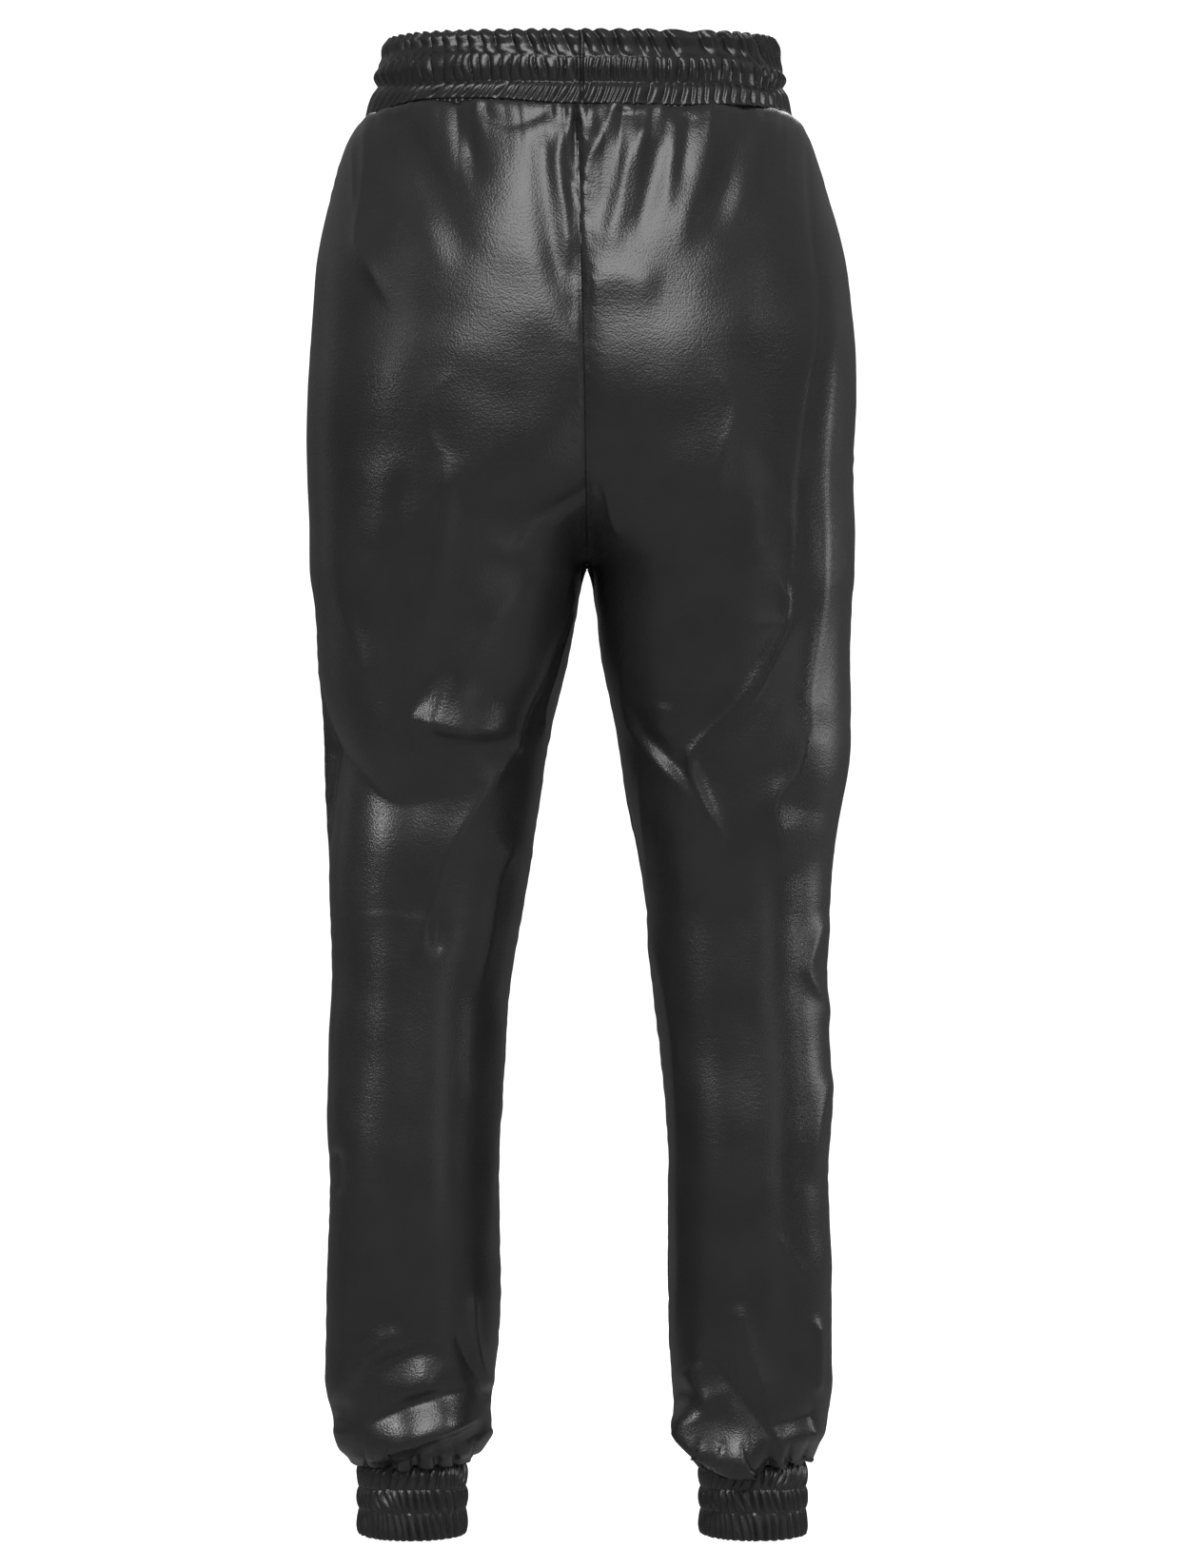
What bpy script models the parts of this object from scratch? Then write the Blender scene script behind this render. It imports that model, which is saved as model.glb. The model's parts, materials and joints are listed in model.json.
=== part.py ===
"""Jogger sweatpants in imitation leather, filled out as worn, with no wearer.

Metres, +Z up. +Y is the wearer's front and +X the wearer's right. The origin is the middle of the waistband.
Every piece is a cloth wall: a grid of points on its outer face, the same grid moved in by the wall's thickness,
and a rim that joins the two.
"""
import bpy
import numpy as np

# Driving sizes
WALL = 0.0015            # thickness of the leg panels
BAND_WALL = 0.0028       # the waistband is folded cloth over elastic
CUFF_WALL = 0.0022
SEAM_GAP = 0.0003        # clear space between two sewn pieces
WAIST_SEAM = -0.0237     # height where the panels meet the waistband
BAND_TOP = 0.0272        # middle of the waistband's upper edge
BAND_DIP = 0.0024        # the edge is this much lower at the back and higher at the sides
CUFF_TOP = -0.9060
HEM = -0.9540
CROTCH = -0.3200

# Grids, in points
PANEL_ACROSS = 15
PANEL_DOWN = 27
BAND_AROUND = 56
CUFF_AROUND = 24
POCKET_ACROSS = 6
SECTION_POINTS = 241     # points of one half section before it is read evenly
FORM_SECTIONS = 260      # sections above and below the crotch from which the leg's form is read
FORM_POINTS = 200
LEVEL_ROWS = 0.62        # from here down the panels' rows run level
ANKLE_START = 0.863      # rows are even down to here
ANKLE_ROWS = (0.876, 0.883, 0.887, 0.891, 0.895)     # and then follow the ankle's rolled hem

# The outline from the front: distances from the centre plane, along the path from the waist to the ankle.
# Above the crotch the inner distance is negative, because each leg's section reaches across the centre plane.
OUTLINE_COLUMNS = ("down", "z", "left_outer", "left_inner", "right_inner", "right_outer")
OUTLINE = (
    (0.000, WAIST_SEAM - SEAM_GAP, 0.1462, -0.1430, -0.1430, 0.1425),
    (0.006, -0.0301, 0.1512, -0.1450, -0.1450, 0.1474),
    (0.018, -0.0414, 0.1575, -0.1480, -0.1480, 0.1531),
    (0.044, -0.0679, 0.1657, -0.1450, -0.1450, 0.1613),
    (0.107, -0.1309, 0.1764, -0.1150, -0.1150, 0.1764),
    (0.183, -0.2065, 0.1814, -0.0780, -0.0780, 0.1808),
    (0.233, -0.2569, 0.1814, -0.0470, -0.0470, 0.1796),
    (0.266, -0.2900, 0.1806, -0.0240, -0.0240, 0.1800),
    (0.286, -0.3100, 0.1804, -0.0085, -0.0085, 0.1801),
    (0.296, CROTCH, 0.1802, 0.0003, 0.0003, 0.1802),
    (0.321, -0.3451, 0.1770, 0.0060, 0.0060, 0.1783),
    (0.359, -0.3829, 0.1751, 0.0130, 0.0130, 0.1770),
    (0.397, -0.4207, 0.1720, 0.0200, 0.0203, 0.1770),
    (0.447, -0.4711, 0.1701, 0.0271, 0.0296, 0.1707),
    (0.510, -0.5341, 0.1670, 0.0378, 0.0416, 0.1644),
    (0.573, -0.5971, 0.1657, 0.0479, 0.0472, 0.1613),
    (0.649, -0.6727, 0.1676, 0.0529, 0.0548, 0.1651),
    (0.687, -0.7105, 0.1662, 0.0548, 0.0573, 0.1620),
    (0.762, -0.7861, 0.1682, 0.0536, 0.0567, 0.1638),
    (0.825, -0.8491, 0.1695, 0.0567, 0.0586, 0.1644),
    (0.850, -0.8743, 0.1657, 0.0598, 0.0605, 0.1619),
    (0.863, -0.8869, 0.1638, 0.0595, 0.0630, 0.1607),
    (0.876, -0.8988, 0.1600, 0.0655, 0.0674, 0.1556),
    (0.883, -0.9046, 0.1548, 0.0710, 0.0720, 0.1535),
    (0.887, -0.9079, 0.1525, 0.0721, 0.0733, 0.1522),
    (0.891, -0.9067, 0.1498, 0.0744, 0.0757, 0.1498),
    (0.895, -0.9047, 0.1482, 0.0762, 0.0774, 0.1482),
)

# The outline from the side: how far the back, the front and the side seam lie from the centre, to the front.
PROFILE_COLUMNS = ("down", "back", "front", "seam", "square")
PROFILE = (
    (0.000, -0.1010, 0.0980, 0.0000, 2.00),
    (0.018, -0.1080, 0.1030, 0.0000, 2.02),
    (0.044, -0.1140, 0.1070, 0.0000, 2.05),
    (0.107, -0.1250, 0.1100, 0.0000, 2.15),
    (0.176, -0.1310, 0.1080, 0.0000, 2.25),
    (0.233, -0.1275, 0.1035, 0.0000, 2.25),
    (0.296, -0.1140, 0.0980, -0.0005, 2.25),
    (0.359, -0.1025, 0.0920, -0.0010, 2.20),
    (0.447, -0.0925, 0.0840, -0.0020, 2.20),
    (0.535, -0.0820, 0.0740, -0.0040, 2.20),
    (0.611, -0.0830, 0.0620, -0.0090, 2.15),
    (0.687, -0.0870, 0.0540, -0.0150, 2.15),
    (0.762, -0.0810, 0.0520, -0.0140, 2.15),
    (0.825, -0.0750, 0.0540, -0.0110, 2.10),
    (0.863, -0.0680, 0.0480, -0.0100, 2.05),
    (0.876, -0.0635, 0.0430, -0.0100, 2.00),
    (0.883, -0.0584, 0.0380, -0.0100, 2.00),
    (0.887, -0.0567, 0.0364, -0.0100, 2.00),
    (0.891, -0.0542, 0.0342, -0.0100, 2.00),
    (0.895, -0.0522, 0.0322, -0.0100, 2.00),
)
CROTCH_DOWN = 0.296
NEAR_CROTCH = 0.060      # the legs stay on their own sides of the centre plane this far below the crotch
BRIDGE_WIDTH = 0.022     # the cloth spans the cleft of the seat over this width on each side
BRIDGE_FADE = 0.070      # and less and less over this distance above the crotch

# Where the centre seam leans away from the centre plane
SEAM_LEAN_COLUMNS = ("down", "shift")
SEAM_LEAN = ((0.000, -0.0035), (0.107, 0.0000), (0.200, 0.0020), (0.296, 0.0030), (0.359, 0.0015), (0.420, 0.0000))
LEAN_REACH = 0.1         # the lean dies out over this distance to each side

# The slanted pocket mouth: from the waist seam to the side seam
MOUTH_START = 0.046      # distance from the side seam at the waist
MOUTH_DROP = 0.113       # distance down the side seam
POCKET_DEPTH = 0.210     # from the waist seam to the bottom of the pocket
POCKET_REACH = 0.098     # from the side seam towards the front
POCKET_INSET = 0.0033    # the pocket back lies this far behind the front panel's outer face
POCKET_STEP = 0.005      # spacing of the points that carry the pocket past the mouth to the side seam
POCKET_CLEAR = 0.001     # and how far they keep from the mouth's edge

# The largest folds on the back, seen from behind: where each runs, its half width and how far it stands out
FOLD_COLUMNS = ("name", "face", "path", "half_width", "height")
FOLDS = (
    ("side ridge", "back", ((0.144, -0.07), (0.156, -0.13), (0.155, -0.19), (0.141, -0.26), (0.136, -0.34)),
     0.012, 0.0035),
    ("side valley", "back", ((0.166, -0.10), (0.168, -0.20), (0.152, -0.28), (0.148, -0.36), (0.152, -0.44)),
     0.012, -0.0040),
    ("outer sheen ridge", "back", ((0.163, -0.30), (0.163, -0.40), (0.155, -0.48), (0.148, -0.52)), 0.018, 0.0040),
    ("right thigh crease", "back", ((0.130, -0.32), (0.126, -0.37), (0.092, -0.42), (0.072, -0.46), (0.092, -0.50)),
     0.013, 0.0055),
    ("right inner crease", "back", ((0.026, -0.37), (0.034, -0.43), (0.072, -0.48)), 0.011, 0.0035),
    ("left thigh crease", "back", ((-0.166, -0.43), (-0.130, -0.46), (-0.060, -0.45), (-0.010, -0.34)), 0.016, 0.0050),
    ("left knee ridge", "back", ((-0.070, -0.47), (-0.085, -0.52), (-0.097, -0.54)), 0.014, 0.0040),
    ("left seat crease", "back", ((-0.094, -0.19), (-0.101, -0.22), (-0.092, -0.27)), 0.014, 0.0040),
    ("right seat crease", "back", ((0.084, -0.19), (0.099, -0.22), (0.088, -0.28)), 0.014, 0.0040),
    ("left ankle puff", "back", ((-0.145, -0.885), (-0.110, -0.868), (-0.070, -0.868)), 0.014, 0.0050),
    ("left ankle hollow", "back", ((-0.155, -0.870), (-0.125, -0.843), (-0.075, -0.852)), 0.011, -0.0045),
    ("right ankle puff", "back", ((0.080, -0.870), (0.105, -0.892), (0.130, -0.885)), 0.014, 0.0050),
    ("right ankle hollow", "back", ((0.072, -0.850), (0.105, -0.862), (0.150, -0.858)), 0.011, -0.0040),
    ("left groin crease", "front", ((-0.010, -0.30), (-0.060, -0.24), (-0.110, -0.20)), 0.014, 0.0045),
    ("right groin crease", "front", ((0.010, -0.30), (0.065, -0.25), (0.120, -0.19)), 0.014, 0.0045),
    ("left knee crease", "front", ((-0.160, -0.55), (-0.110, -0.57), (-0.060, -0.54)), 0.015, 0.0045),
    ("right knee crease", "front", ((0.060, -0.56), (0.110, -0.58), (0.155, -0.55)), 0.015, 0.0045),
    ("left shin crease", "front", ((-0.150, -0.86), (-0.110, -0.875), (-0.070, -0.86)), 0.014, 0.0045),
    ("right shin crease", "front", ((0.075, -0.87), (0.110, -0.885), (0.150, -0.865)), 0.014, 0.0045),
)
FOLD_FADE = 0.030        # a fold dies out over this distance at a seam

# The waistband and the cuffs: half sizes of their rings at the widest and how the tiers swell between stitch lines
BAND_COLUMNS = ("z", "left", "right", "back", "front")
BAND = (
    (-0.0234, 0.1449, 0.1428, 0.1000, 0.0970),
    (-0.0190, 0.1434, 0.1392, 0.0990, 0.0962),
    (-0.0060, 0.1390, 0.1362, 0.0975, 0.0955),
    (0.0000, 0.1362, 0.1338, 0.0960, 0.0945),
    (0.0055, 0.1376, 0.1350, 0.0970, 0.0955),
    (0.0120, 0.1356, 0.1338, 0.0965, 0.0950),
    (0.0175, 0.1328, 0.1318, 0.0950, 0.0935),
    (0.0225, 0.1326, 0.1314, 0.0952, 0.0938),
    (0.0272, 0.1296, 0.1290, 0.0930, 0.0918),
)
BAND_LEVELS = (-0.0234, -0.0150, -0.0060, 0.0000, 0.0080, 0.0170, 0.0230, 0.0272)
BAND_PLEATS = 28
BAND_PLEAT_HEIGHT = 0.0009
BAND_EDGE_SHARE = 0.3    # the pleats are this much of their height at the band's two edges
CUFF_CENTRE = {"left": (-0.1121, -0.0100), "right": (0.1128, -0.0100)}
CUFF_HALF = {"left": (0.0366, 0.0424), "right": (0.0360, 0.0418)}
CUFF_TIER_LEVELS = (0.00, 0.17, 0.34, 0.50, 0.67, 0.84, 1.00)     # from the top of the cuff to its hem
CUFF_TIER_SWELL = (-0.0018, 0.0004, -0.0010, 0.0008, -0.0010, 0.0006, -0.0016)
CUFF_PLEATS = 12
CUFF_PLEAT_HEIGHT = 0.0006

SIDES = {"left": -1.0, "right": 1.0}
FACES = {"back": -1.0, "front": 1.0}

# Colour, roughness and metallic value of each kind of piece
LEATHER = ((0.016, 0.016, 0.017, 1.0), 0.38, 0.0)
SHIRRED = ((0.013, 0.013, 0.014, 1.0), 0.42, 0.0)


def column(table, columns, name):
    """One named column of a table, as an array."""
    return np.array([row[columns.index(name)] for row in table], dtype=float)


def smooth_read(stations, values, at):
    """The value at a station, on a curve through the table's values that never swings past them."""
    step = np.diff(stations)
    slope = np.diff(values) / step
    tangent = np.zeros(len(values))
    tangent[0] = slope[0]
    tangent[-1] = slope[-1]
    before = slope[:-1]
    after = slope[1:]
    same_way = before * after > 0.0
    weight_before = 2.0 * step[1:] + step[:-1]
    weight_after = step[1:] + 2.0 * step[:-1]
    safe_before = np.where(same_way, before, 1.0)
    safe_after = np.where(same_way, after, 1.0)
    mean = (weight_before + weight_after) / (weight_before / safe_before + weight_after / safe_after)
    tangent[1:-1] = np.where(same_way, mean, 0.0)
    at = np.clip(at, stations[0], stations[-1])
    k = np.clip(np.searchsorted(stations, at, side="right") - 1, 0, len(step) - 1)
    t = (at - stations[k]) / step[k]
    return ((1 + 2 * t) * (1 - t) ** 2 * values[k] + t * (1 - t) ** 2 * step[k] * tangent[k]
            + t * t * (3 - 2 * t) * values[k + 1] + t * t * (t - 1) * step[k] * tangent[k + 1])


def reader(table, columns):
    """A function that reads any named column of the table at a place along its first column."""
    stations = column(table, columns, columns[0])
    values = {name: column(table, columns, name) for name in columns[1:]}
    return lambda name, at: smooth_read(stations, values[name], at)


outline = reader(OUTLINE, OUTLINE_COLUMNS)
profile = reader(PROFILE, PROFILE_COLUMNS)
seam_lean = reader(SEAM_LEAN, SEAM_LEAN_COLUMNS)
band = reader(BAND, BAND_COLUMNS)


def smoothstep(low, high, value):
    """0 below low, 1 above high, and a soft step between."""
    t = np.clip((value - low) / (high - low), 0.0, 1.0)
    return t * t * (3.0 - 2.0 * t)


def half_section(side, face, down):
    """Half of a leg's section: points from the side seam round to the centre seam, or to the inseam."""
    outer = 0.5 * (outline("left_outer", down) + outline("right_outer", down))
    inner = 0.5 * (outline("left_inner", down) + outline("right_inner", down))
    seam = profile("seam", down)
    depth = abs(profile(face, down) - seam)
    power = 2.0 / profile("square", down)
    turn = np.linspace(0.0, np.pi, SECTION_POINTS)
    across = 0.5 * (outer + inner) + 0.5 * (outer - inner) * np.sign(np.cos(turn)) * np.abs(np.cos(turn)) ** power
    out = depth * np.abs(np.sin(turn)) ** power
    if inner < 0.0:
        across, out = stop_at_centre(across, out, down)
        weight = (across / outer) ** 2
        shift_inner = 0.0
    else:
        weight = (across - inner) / (outer - inner)
        shift_inner = outline(side + "_inner", down) - inner
    across = across + shift_inner * (1.0 - weight) + (outline(side + "_outer", down) - outer) * weight
    x = SIDES[side] * across + seam_lean("shift", down) * (1.0 - smoothstep(0.0, LEAN_REACH, across))
    return np.column_stack([x, seam + FACES[face] * out, np.full(len(x), outline("z", down))])


def stop_at_centre(across, out, down):
    """End a section on the centre plane, with the cloth spanning the cleft in place of a crease."""
    peak = 0.5 * (across[0] + across[-1])
    span = BRIDGE_WIDTH * smoothstep(0.0, BRIDGE_FADE, CROTCH_DOWN - down)
    kept = np.append(across[across > 0.0], 0.0)
    lift = span * np.clip(1.0 - (kept / peak) ** 2, 0.0, 1.0) ** 2
    return kept, np.interp(np.hypot(kept, lift), across[::-1], out[::-1])


def lengths_along(points):
    """The distance along a polyline to each of its points."""
    return np.concatenate([[0.0], np.cumsum(np.linalg.norm(np.diff(points, axis=0), axis=1))])


class LegForm:
    """The outer form of one leg's back or front, read by distance from the side seam and place down the leg."""

    def __init__(self, side, face):
        above = CROTCH_DOWN * (1.0 - np.linspace(1.0, 0.0, FORM_SECTIONS) ** 2)
        below = np.linspace(CROTCH_DOWN, OUTLINE[-1][0], FORM_SECTIONS)[1:]
        self.stations = np.concatenate([above, below])
        share = np.linspace(0.0, 1.0, FORM_POINTS)
        self.widths = []
        self.points = []
        for down in self.stations:
            section = half_section(side, face, down)
            length = lengths_along(section)
            self.widths.append(length[-1])
            self.points.append([np.interp(share * length[-1], length, section[:, k]) for k in range(3)])
        self.widths = np.array(self.widths)
        self.points = np.array(self.points).transpose(0, 2, 1)
        self.rise = lengths_along(self.points[:FORM_SECTIONS, -1])
        self.extra = self.rise[-1] - CROTCH_DOWN

    def at(self, distance, down):
        """Points of the form."""
        place = np.interp(down, self.stations, np.arange(len(self.stations)))
        k = np.minimum(place.astype(int), len(self.stations) - 2)
        t = (place - k)[..., None]
        return (1.0 - t) * self.on_section(k, distance) + t * self.on_section(k + 1, distance)

    def on_section(self, k, distance):
        """Points of the numbered sections."""
        place = np.clip(distance / self.widths[k], 0.0, 1.0) * (FORM_POINTS - 1)
        j = np.minimum(place.astype(int), FORM_POINTS - 2)
        t = (place - j)[..., None]
        return (1.0 - t) * self.points[k, j] + t * self.points[k, j + 1]

    def inner_edge(self, down):
        """Where a row that starts at a place down the side seam ends: place, distance, and whether on the rise."""
        run = down + self.extra * smoothstep(0.0, LEVEL_ROWS, down)
        on_rise = run < self.rise[-1]
        place = np.where(on_rise, np.interp(run, self.rise, self.stations[:FORM_SECTIONS]), run - self.extra)
        return place, np.interp(place, self.stations, self.widths), on_rise


def down_stations():
    """Where the panels' rows start on the side seam: even down the leg, and closer at the ankle."""
    even = np.linspace(0.0, ANKLE_START, PANEL_DOWN - len(ANKLE_ROWS))
    return np.concatenate([even, ANKLE_ROWS])


def mouth_distance(down):
    """How far the pocket mouth's edge lies from the side seam."""
    return MOUTH_START * np.clip(1.0 - down / MOUTH_DROP, 0.0, 1.0)


def normals_of(grid, side, face):
    """Unit normals of a grid, out of the garment. Those on its edges stay in the plane of their seam."""
    along = np.gradient(grid, axis=0)
    across = np.gradient(grid, axis=1)
    normal = np.cross(along, across) * SIDES[side] * FACES[face]
    return normal / np.linalg.norm(normal, axis=2, keepdims=True)


def distance_to_path(x, z, path):
    """Distance of each point from a path seen from behind."""
    nearest = np.full(x.shape, 1.0)
    for (x0, z0), (x1, z1) in zip(path[:-1], path[1:]):
        run = np.array([x1 - x0, z1 - z0])
        t = np.clip(((x - x0) * run[0] + (z - z0) * run[1]) / (run @ run), 0.0, 1.0)
        nearest = np.minimum(nearest, np.hypot(x - x0 - t * run[0], z - z0 - t * run[1]))
    return nearest


def fold_height(grid, face, from_edge):
    """How far the folds move each point out."""
    height = np.zeros(grid.shape[:2])
    for row in FOLDS:
        fold = dict(zip(FOLD_COLUMNS, row))
        if fold["face"] == face:
            distance = distance_to_path(grid[:, :, 0], grid[:, :, 2], fold["path"])
            height += fold["height"] * np.exp(-(distance / fold["half_width"]) ** 2)
    return height * smoothstep(0.0, FOLD_FADE, from_edge)


def panel_rows(form, down, share):
    """Place down the leg and distance from the side seam of each point. The rows bend to meet the rise evenly."""
    inner_place, inner_distance, _ = form.inner_edge(down)
    bend = smoothstep(0.0, 1.0, share)[None, :]
    place = down[:, None] * (1.0 - bend) + inner_place[:, None] * bend
    return place, share[None, :] * inner_distance[:, None]


def panel_grid(form, side, face):
    """The outer face of one leg panel: rows from the waist to the ankle, points from the side seam inwards."""
    share = np.linspace(0.0, 1.0, PANEL_ACROSS)
    place, distance = panel_rows(form, down_stations(), share)
    if face == "front":
        mouth = mouth_distance(down_stations())[:, None]
        distance = mouth + (distance[:, -1:] - mouth) * share[None, :]
    grid = form.at(distance, place)
    from_edge = np.minimum(share, 1.0 - share)[None, :] * distance[:, -1:]
    normal = normals_of(grid, side, face)
    return grid + normal * fold_height(grid, face, from_edge)[:, :, None]


def wall_between(name, outer, inner, closed, material):
    """One closed solid between two grids of points. closed joins each row's last point to its first."""
    rows, columns = outer.shape[:2]
    count = rows * columns
    vertices = np.concatenate([outer.reshape(-1, 3), inner.reshape(-1, 3)])
    faces = []
    steps = columns if closed else columns - 1
    for r in range(rows - 1):
        for c in range(steps):
            d = (c + 1) % columns
            quad = (r * columns + c, (r + 1) * columns + c, (r + 1) * columns + d, r * columns + d)
            faces.append(quad)
            faces.append(tuple(count + k for k in reversed(quad)))
    for c in range(steps):
        d = (c + 1) % columns
        last = (rows - 1) * columns
        faces.append((c, d, count + d, count + c))
        faces.append((last + d, last + c, count + last + c, count + last + d))
    if not closed:
        for r in range(rows - 1):
            a, b = r * columns, (r + 1) * columns
            e = columns - 1
            faces.append((b, a, count + a, count + b))
            faces.append((a + e, b + e, count + b + e, count + a + e))
    mesh = bpy.data.meshes.new(name)
    mesh.from_pydata(vertices.tolist(), [], faces)
    if signed_volume(mesh) < 0.0:
        mesh.flip_normals()
    mesh.shade_smooth()
    mesh.materials.append(material)
    piece = bpy.data.objects.new(name, mesh)
    bpy.context.scene.collection.objects.link(piece)
    return piece


def signed_volume(mesh):
    """The volume inside a closed mesh, below zero where its faces point in."""
    mesh.calc_loop_triangles()
    total = 0.0
    for triangle in mesh.loop_triangles:
        a, b, c = (mesh.vertices[k].co for k in triangle.vertices)
        total += a.dot(b.cross(c)) / 6.0
    return total


def keep_seams(points, side, face, centre, seam):
    """Move a panel's points off its seams: half the gap from the side seam, the inseam and the centre plane."""
    half_gap = 0.5 * SEAM_GAP
    reach = SIDES[side] * (points[:, :, 0] - centre)
    out = FACES[face] * (points[:, :, 1] - seam)
    points[:, :, 0] = centre + SIDES[side] * np.maximum(reach, half_gap)
    points[:, :, 1] = seam + FACES[face] * np.maximum(out, half_gap)
    return points


def leather(name, look):
    """A plain material for one piece."""
    colour, roughness, metallic = look
    material = bpy.data.materials.new(name)
    material.use_nodes = True
    shader = material.node_tree.nodes["Principled BSDF"]
    shader.inputs["Base Color"].default_value = colour
    shader.inputs["Roughness"].default_value = roughness
    shader.inputs["Metallic"].default_value = metallic
    return material


def flatten_edge_normals(normal, side_seam, inner_seam_rows):
    """Turn the normals along seams into the seam's own plane, so that the wall's rim stands square to it."""
    normal = normal.copy()
    if side_seam:
        normal[:, 0, 1] = 0.0
    for k, above_crotch in enumerate(inner_seam_rows):
        normal[k, -1, 0 if above_crotch else 1] = 0.0
    return normal / np.linalg.norm(normal, axis=2, keepdims=True)


def make_panel(side, face):
    """One leg panel."""
    name = f"{face}_{side}"
    form = LegForm(side, face)
    outer = panel_grid(form, side, face)
    down = down_stations()
    place, _ = panel_rows(form, down, np.linspace(0.0, 1.0, PANEL_ACROSS))
    _, _, on_rise = form.inner_edge(down)
    plain = normals_of(outer, side, face)
    normal = flatten_edge_normals(plain, True, on_rise)
    if face == "front":
        at_mouth = mouth_distance(down) > 0.0
        normal[at_mouth, 0] = plain[at_mouth, 0]
    inner = outer - WALL * normal
    inner[0, :, 2] = np.minimum(inner[0, :, 2], WAIST_SEAM - SEAM_GAP)
    centre = np.where(place < CROTCH_DOWN + NEAR_CROTCH, seam_lean("shift", place), -SIDES[side])
    seam = profile("seam", place)
    outer = keep_seams(outer, side, face, centre, seam)
    inner = keep_seams(inner, side, face, centre, seam)
    return wall_between(name, outer, inner, False, leather(name, LEATHER))


def make_pocket(side):
    """The back of one pocket, behind the slanted mouth: made from the front panel's points, moved in."""
    name = f"pocket_{side}"
    form = LegForm(side, "front")
    panel = panel_grid(form, side, "front")
    at = np.linspace(0.0, POCKET_REACH, POCKET_ACROSS)
    rows = []
    for down, panel_row in zip(down_stations(), panel):
        if down > POCKET_DEPTH:
            break
        mouth = mouth_distance(down)
        lead = np.arange(0.0, mouth - POCKET_CLEAR, POCKET_STEP)
        path = np.concatenate([form.at(lead, np.full(len(lead), down)), panel_row])
        length = lengths_along(path)
        rows.append(np.column_stack([np.interp(at, length, path[:, k]) for k in range(3)]))
    base = np.array(rows)
    normal = flatten_edge_normals(normals_of(base, side, "front"), True, [])
    outer = base - POCKET_INSET * normal
    inner = outer - WALL * normal
    outer[:, :, 1] = np.maximum(outer[:, :, 1], base[:, :1, 1] + 0.5 * SEAM_GAP)
    inner[:, :, 1] = np.maximum(inner[:, :, 1], base[:, :1, 1] + 0.5 * SEAM_GAP)
    return wall_between(name, outer, inner, False, leather(name, LEATHER))


def ring(half_left, half_right, half_back, half_front, centre, z, count, pleats, pleat_height):
    """One ring of points, egg-shaped where its four half sizes differ, with pleats."""
    turn = np.linspace(0.0, 2.0 * np.pi, count, endpoint=False)
    wide = np.where(np.cos(turn) > 0.0, half_right, half_left)
    deep = np.where(np.sin(turn) > 0.0, half_front, half_back)
    swell = pleat_height * np.cos(pleats * turn)
    x = centre[0] + (wide + swell) * np.cos(turn)
    y = centre[1] + (deep + swell) * np.sin(turn)
    return np.column_stack([x, y, np.full(count, z)])


def make_waistband():
    """The shirred waistband, one loop."""
    outer = []
    inner = []
    for level in BAND_LEVELS:
        sizes = [float(band(name, level)) for name in ("left", "right", "back", "front")]
        rise = smoothstep(WAIST_SEAM, BAND_TOP, level)
        pleat = BAND_PLEAT_HEIGHT * (BAND_EDGE_SHARE if level in (BAND_LEVELS[0], BAND_LEVELS[-1]) else 1.0)
        outer.append(ring(*sizes, (0.0, 0.0), level, BAND_AROUND, BAND_PLEATS, pleat))
        sizes = [size - BAND_WALL for size in sizes]
        inner.append(ring(*sizes, (0.0, 0.0), level, BAND_AROUND, BAND_PLEATS, pleat))
        turn = np.linspace(0.0, 2.0 * np.pi, BAND_AROUND, endpoint=False)
        for loop in (outer[-1], inner[-1]):
            loop[:, 2] += BAND_DIP * rise * np.cos(2.0 * turn)
    return wall_between("waistband", np.array(outer), np.array(inner), True, leather("waistband", SHIRRED))


def make_cuff(side):
    """One shirred ankle cuff."""
    name = f"cuff_{side}"
    half_x, half_y = CUFF_HALF[side]
    outer = []
    inner = []
    for level, swell in zip(CUFF_TIER_LEVELS, CUFF_TIER_SWELL):
        z = CUFF_TOP + (HEM - CUFF_TOP) * level
        for loops, move in ((outer, 0.0), (inner, -CUFF_WALL)):
            x = half_x + swell + move
            y = half_y + swell + move
            loops.append(ring(x, x, y, y, CUFF_CENTRE[side], z, CUFF_AROUND, CUFF_PLEATS, CUFF_PLEAT_HEIGHT))
    return wall_between(name, np.array(outer), np.array(inner), True, leather(name, SHIRRED))


def main():
    for old in list(bpy.data.objects):
        bpy.data.objects.remove(old)
    for side in SIDES:
        for face in FACES:
            make_panel(side, face)
        make_pocket(side)
        make_cuff(side)
    make_waistband()


main()
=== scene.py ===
"""The looks of the jogger sweatpants: black imitation leather, shirred over elastic at the waist and the ankles.

Metres, +Z up. +Y is the wearer's front and +X the wearer's right, so the camera looks along +Y at the back.
Each panel is a thin shell on its solid's form, with its creases as soft troughs and ridges.
"""
import json

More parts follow.
